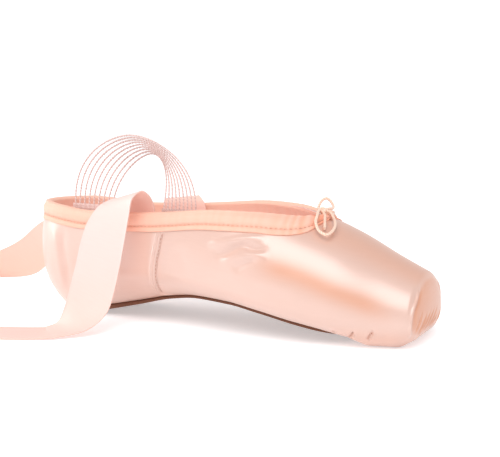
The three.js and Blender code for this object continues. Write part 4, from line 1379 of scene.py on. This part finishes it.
@dataclass
class Elastic:
    """The see-through elastic: cords side by side with fine threads woven across, sewn down at both feet."""

    strands: int = 9
    behind: float = 35.0
    ahead: float = 114.9
    step_back: float = 3.4
    step_front: float = 2.3
    seam: float = 46.0
    foot: float = 61.0
    top: float = 98.6
    drop: float = 10.0
    lean: float = 14.5
    wall: float = 4.7
    thick: float = 1.0
    wide: float = 1.1
    cross_wide: float = 0.15

    def inside(self, x: np.ndarray) -> np.ndarray:
        """Where the strands' feet lie across the shoe, just inside the collar."""
        half, wide, crest, n = (p.at(x) for p in (LAST.half, LAST.wide, LAST.crest, LAST.above))
        share = (LAST.topline.at(x) - wide) / (crest - wide)
        return -(half * (1 - share**n) ** (1 / n)) + self.wall

    def strand(self, number: np.ndarray, t: np.ndarray) -> np.ndarray:
        """A strand's path.

        Args:
            number: of the strand, from 0 at the outside.
            t: 0 at the back foot to 1 at the front foot.

        Returns:
            Points of an arch that leans in more, and stands lower, from strand to strand.
        """
        share = number / (self.strands - 1)
        behind, ahead = self.behind + number * self.step_back, self.ahead - number * self.step_front
        angle = math.pi * t
        rise = np.maximum(np.sin(angle), 0.0) ** 0.85
        x = (behind + ahead) / 2 - (ahead - behind) / 2 * np.sign(np.cos(angle)) * np.abs(np.cos(angle)) ** 1.12
        z = self.foot + (self.top - self.drop * share - self.foot) * rise
        return np.stack([x, self.inside(x) + self.lean * share * rise**1.4, z], axis=-1)

    def build(self) -> bpy.types.Object:
        """All strands with their twist, the cross threads and the sewn feet."""
        t = np.linspace(0.0, 1.0, 170)
        parts = []
        for number in range(self.strands):
            path = self.strand(np.array(float(number)), t)
            run = np.concatenate([[0.0], np.cumsum(np.linalg.norm(np.diff(path, axis=0), axis=1))])
            radius = self.wide / 2 * (0.82 + 0.18 * np.sin(run * 2 * math.pi / 2.1 + number))
            aside = self.strand(np.array(number + 0.5), t) - self.strand(np.array(number - 0.5), t)
            out = np.cross(np.gradient(path, axis=0), aside)
            parts.append(self.flat_tube(path, radius, out))
        count = 84
        for k in range(1, count):
            parts.append(tube(self.strand(np.linspace(0.0, self.strands - 1.0, 13), np.full(13, k / count)), self.cross_wide / 2, 4))
        for end in (0.0, 1.0):
            parts.append(self.sewn_foot(end))
        piece = joined(parts).shown("elastic_band", [ELASTIC_THREAD.material()])
        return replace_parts(piece, "elastic_loop")

    def flat_tube(self, path: np.ndarray, radius: np.ndarray, out: np.ndarray) -> Skin:
        """A strand's body: an oval section that lies flat in the band."""
        angle = np.linspace(0.0, 2 * math.pi, 9)
        along = unit(np.gradient(path, axis=0))
        out = unit(out)
        aside = np.cross(out, along)
        ring = (aside[:, None] * np.cos(angle)[None, :, None]
                + 0.8 * out[:, None] * np.sin(angle)[None, :, None]) * radius[:, None, None]
        body = path[:, None] + ring
        body[:, -1] = body[:, 0]
        caps = [np.repeat(path[:1], 9, 0)[None], body, np.repeat(path[-1:], 9, 0)[None]]
        points = np.concatenate(caps)
        run = np.concatenate([[0.0], np.cumsum(np.linalg.norm(np.diff(path, axis=0), axis=1))])
        run = np.concatenate([run[:1], run, run[-1:]])
        pattern = np.stack(np.broadcast_arrays(run[:, None], angle[None] / (2 * math.pi)), -1)
        skin = Skin(points.reshape(-1, 3), grid_triangles(len(points), 9), pattern.reshape(-1, 2),
                    np.zeros(len(points) * 9))
        if signed_volume(skin) < 0:
            skin.triangles = skin.triangles[:, ::-1]
        return skin

    def sewn_foot(self, end: float) -> Skin:
        """A foot: the strands run down side by side between rows of thread, in one dense patch."""
        number = np.linspace(-0.5, self.strands - 0.5, 90)
        x = self.strand(np.clip(number, 0, self.strands - 1), np.full(90, end))[:, 0]
        step = self.step_back if end < 0.5 else -self.step_front
        x = x + (number - np.clip(number, 0, self.strands - 1)) * step
        z = np.linspace(self.seam, self.foot + 0.3, 46)
        ribs = 0.28 * np.cos(2 * math.pi * number)[:, None] + 0.16 * np.sin(z * 2 * math.pi / 1.5)[None]
        y = self.inside(x)[:, None] + 0 * z[None]
        front = np.stack(np.broadcast_arrays(x[:, None], y + self.thick / 2 + ribs, z[None]), -1)
        back = np.stack(np.broadcast_arrays(x[:, None], y - self.thick / 2 - ribs * 0.5, z[None]), -1)
        rows, columns = front.shape[:2]
        pattern = np.stack(np.broadcast_arrays(z[None] * 1.6, 2.0 * number[:, None]), -1).reshape(-1, 2)
        parts = [Skin(front.reshape(-1, 3), grid_triangles(rows, columns), pattern, np.zeros(rows * columns)),
                 Skin(back.reshape(-1, 3), grid_triangles(rows, columns, turned=True), pattern, np.zeros(rows * columns))]
        for j, turned in ((0, True), (columns - 1, False)):
            rim = np.stack([back[:, j], front[:, j]], 1).reshape(-1, 3)
            parts.append(Skin(rim, grid_triangles(rows, 2, turned=turned), np.zeros((len(rim), 2)), np.zeros(len(rim))))
        for i, turned in ((0, True), (rows - 1, False)):
            rim = np.stack([back[i], front[i]], 0).reshape(-1, 3)
            parts.append(Skin(rim, grid_triangles(2, columns, turned=turned), np.zeros((len(rim), 2)), np.zeros(len(rim))))
        skin = joined(parts)
        if signed_volume(skin) < 0:
            skin.triangles = skin.triangles[:, ::-1]
        return skin


@dataclass
class Drawstring:
    """The drawstring's bow: a knot at the throat, a loop to each side and two ends."""

    thick: float = 1.4
    knot: tuple[float, float, float] = (173.0, -2.0, 3.2)
    exits: tuple[tuple[float, float, float], ...] = ((171.2, -3.4, 1.9), (171.4, -0.2, 1.9))
    near: tuple[tuple[float, float, float], ...] = (
        (172.4, -5, 3.6), (173.2, -8.6, 3.6), (174.4, -12.6, 3.4), (176.1, -18.2, 3.2), (179.8, -22.5, 3.4),
        (183.7, -23, 3.9), (185, -18.2, 3.6), (183.1, -10.4, 3), (179.6, -4.4, 3.2), (176.1, -1, 3.9),
    )
    near_end: tuple[tuple[float, float, float], ...] = (
        (175.2, -4.6, 2.5), (176.6, -7.8, 2.4), (177.9, -11, 2.3), (179.3, -14.6, 2.3), (180.6, -18, 2.3),
    )
    far: tuple[tuple[float, float, float], ...] = (
        (171.6, 1, 3.4), (168.6, 3, 1.8), (168.4, 5, 4), (169.6, 6.8, 7), (171.2, 7.8, 8.3), (173.2, 8.6, 7.6),
        (174.6, 8.4, 5.9), (175.4, 5.5, 5), (174.8, 1.4, 4.6),
    )
    far_end: tuple[tuple[float, float, float], ...] = (
        (176, 0.8, 2.6), (176.2, 4.5, 2.4), (174.8, 9, 2.5), (172.4, 13.5, 2.6), (169.6, 18, 2.8), (166.4, 22, 3),
        (163, 25.6, 3.3), (159.6, 28.6, 3.5),
    )

    def over_vamp(self, bends: tuple[tuple[float, float, float], ...]) -> np.ndarray:
        """Bends given by station, place across and lift, brought to their height over the vamp."""
        x, y, lift = np.array(bends, float).T
        half, wide, crest, n = (p.at(x) for p in (LAST.half, LAST.wide, LAST.crest, LAST.above))
        height = wide + (crest - wide) * np.maximum(1 - (np.abs(y) / half) ** n, 0.0) ** (1 / n)
        return np.stack([x, y, height + lift], axis=1)

    def cord(self, name: str, start: tuple[float, float, float], loop: tuple[tuple[float, float, float], ...],
             end: tuple[tuple[float, float, float], ...], nodes: tuple[str, ...]) -> bpy.types.Object:
        """One side of the bow: out of the casing, round its loop, through the knot and out to its end."""
        path = spline(self.over_vamp((start, *loop, self.knot, *end)), 260)
        skin = tube(path, self.thick / 2, 12)
        if signed_volume(skin) < 0:
            skin.triangles = skin.triangles[:, ::-1]
        piece = skin.shown(name, [DRAWSTRING.material()])
        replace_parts(piece, *nodes)
        metres = (path - [ORIGIN_STATION, 0.0, 0.0]) * MM
        return (piece, tuple(metres[0]))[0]

    def build(self) -> list[bpy.types.Object]:
        """The knot and both cords."""
        middle = self.over_vamp((self.knot,))[0]
        t = np.linspace(0.0, 2 * math.pi, 90)
        wrap = np.stack([1.15 * np.cos(t), 1.5 * np.sin(t), 0.5 * np.sin(2 * t)], 1) + middle
        band = np.stack([1.5 * np.sin(t) * 0.6, 0.45 * np.cos(2 * t), 1.25 * np.cos(t)], 1) + middle
        parts = [tube(wrap, self.thick * 0.52, 12), tube(band, self.thick * 0.52, 12)]
        for part in parts:
            if signed_volume(part) < 0:
                part.triangles = part.triangles[:, ::-1]
        knot = joined(parts).shown("bow_tie", [DRAWSTRING.material()])
        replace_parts(knot, "bow_knot")
        return [knot,
                self.cord("near_bow", self.exits[0], self.near, self.near_end, ("bow_loop_near", "bow_end_near")),
                self.cord("far_bow", self.exits[1], self.far, self.far_end, ("bow_loop_far", "bow_end_far"))]


def build_shoe() -> list[bpy.types.Object]:
    """Every piece of the shoe, in the order of its making."""
    made = list(Drawstring().build())
    upper, sole, casing = Upper(), Sole(), Casing()
    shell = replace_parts(upper.build(), "upper")
    made += [shell, upper.seam_stitches(), sole.outsole(), sole.sock(), casing.build(), casing.stitching()]
    # The near ribbon's inner face and both faces of the far ribbon are deeper as painted shade.
    made += [NEAR_RIBBON.build((0.0, 0.55)), FAR_RIBBON.build((0.6, 0.6)), Elastic().build()]
    return made


def main() -> None:
    """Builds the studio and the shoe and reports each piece."""
    logging.basicConfig(level=logging.INFO, format="%(name)s: %(message)s")
    studio = Studio()
    studio.place_camera()
    made = build_shoe()
    studio.light()
    studio.lay_floor()
    for piece in made:
        log.info("%s has %d triangles", piece.name, len(piece.data.polygons))


if __name__ == "__main__":
    main()
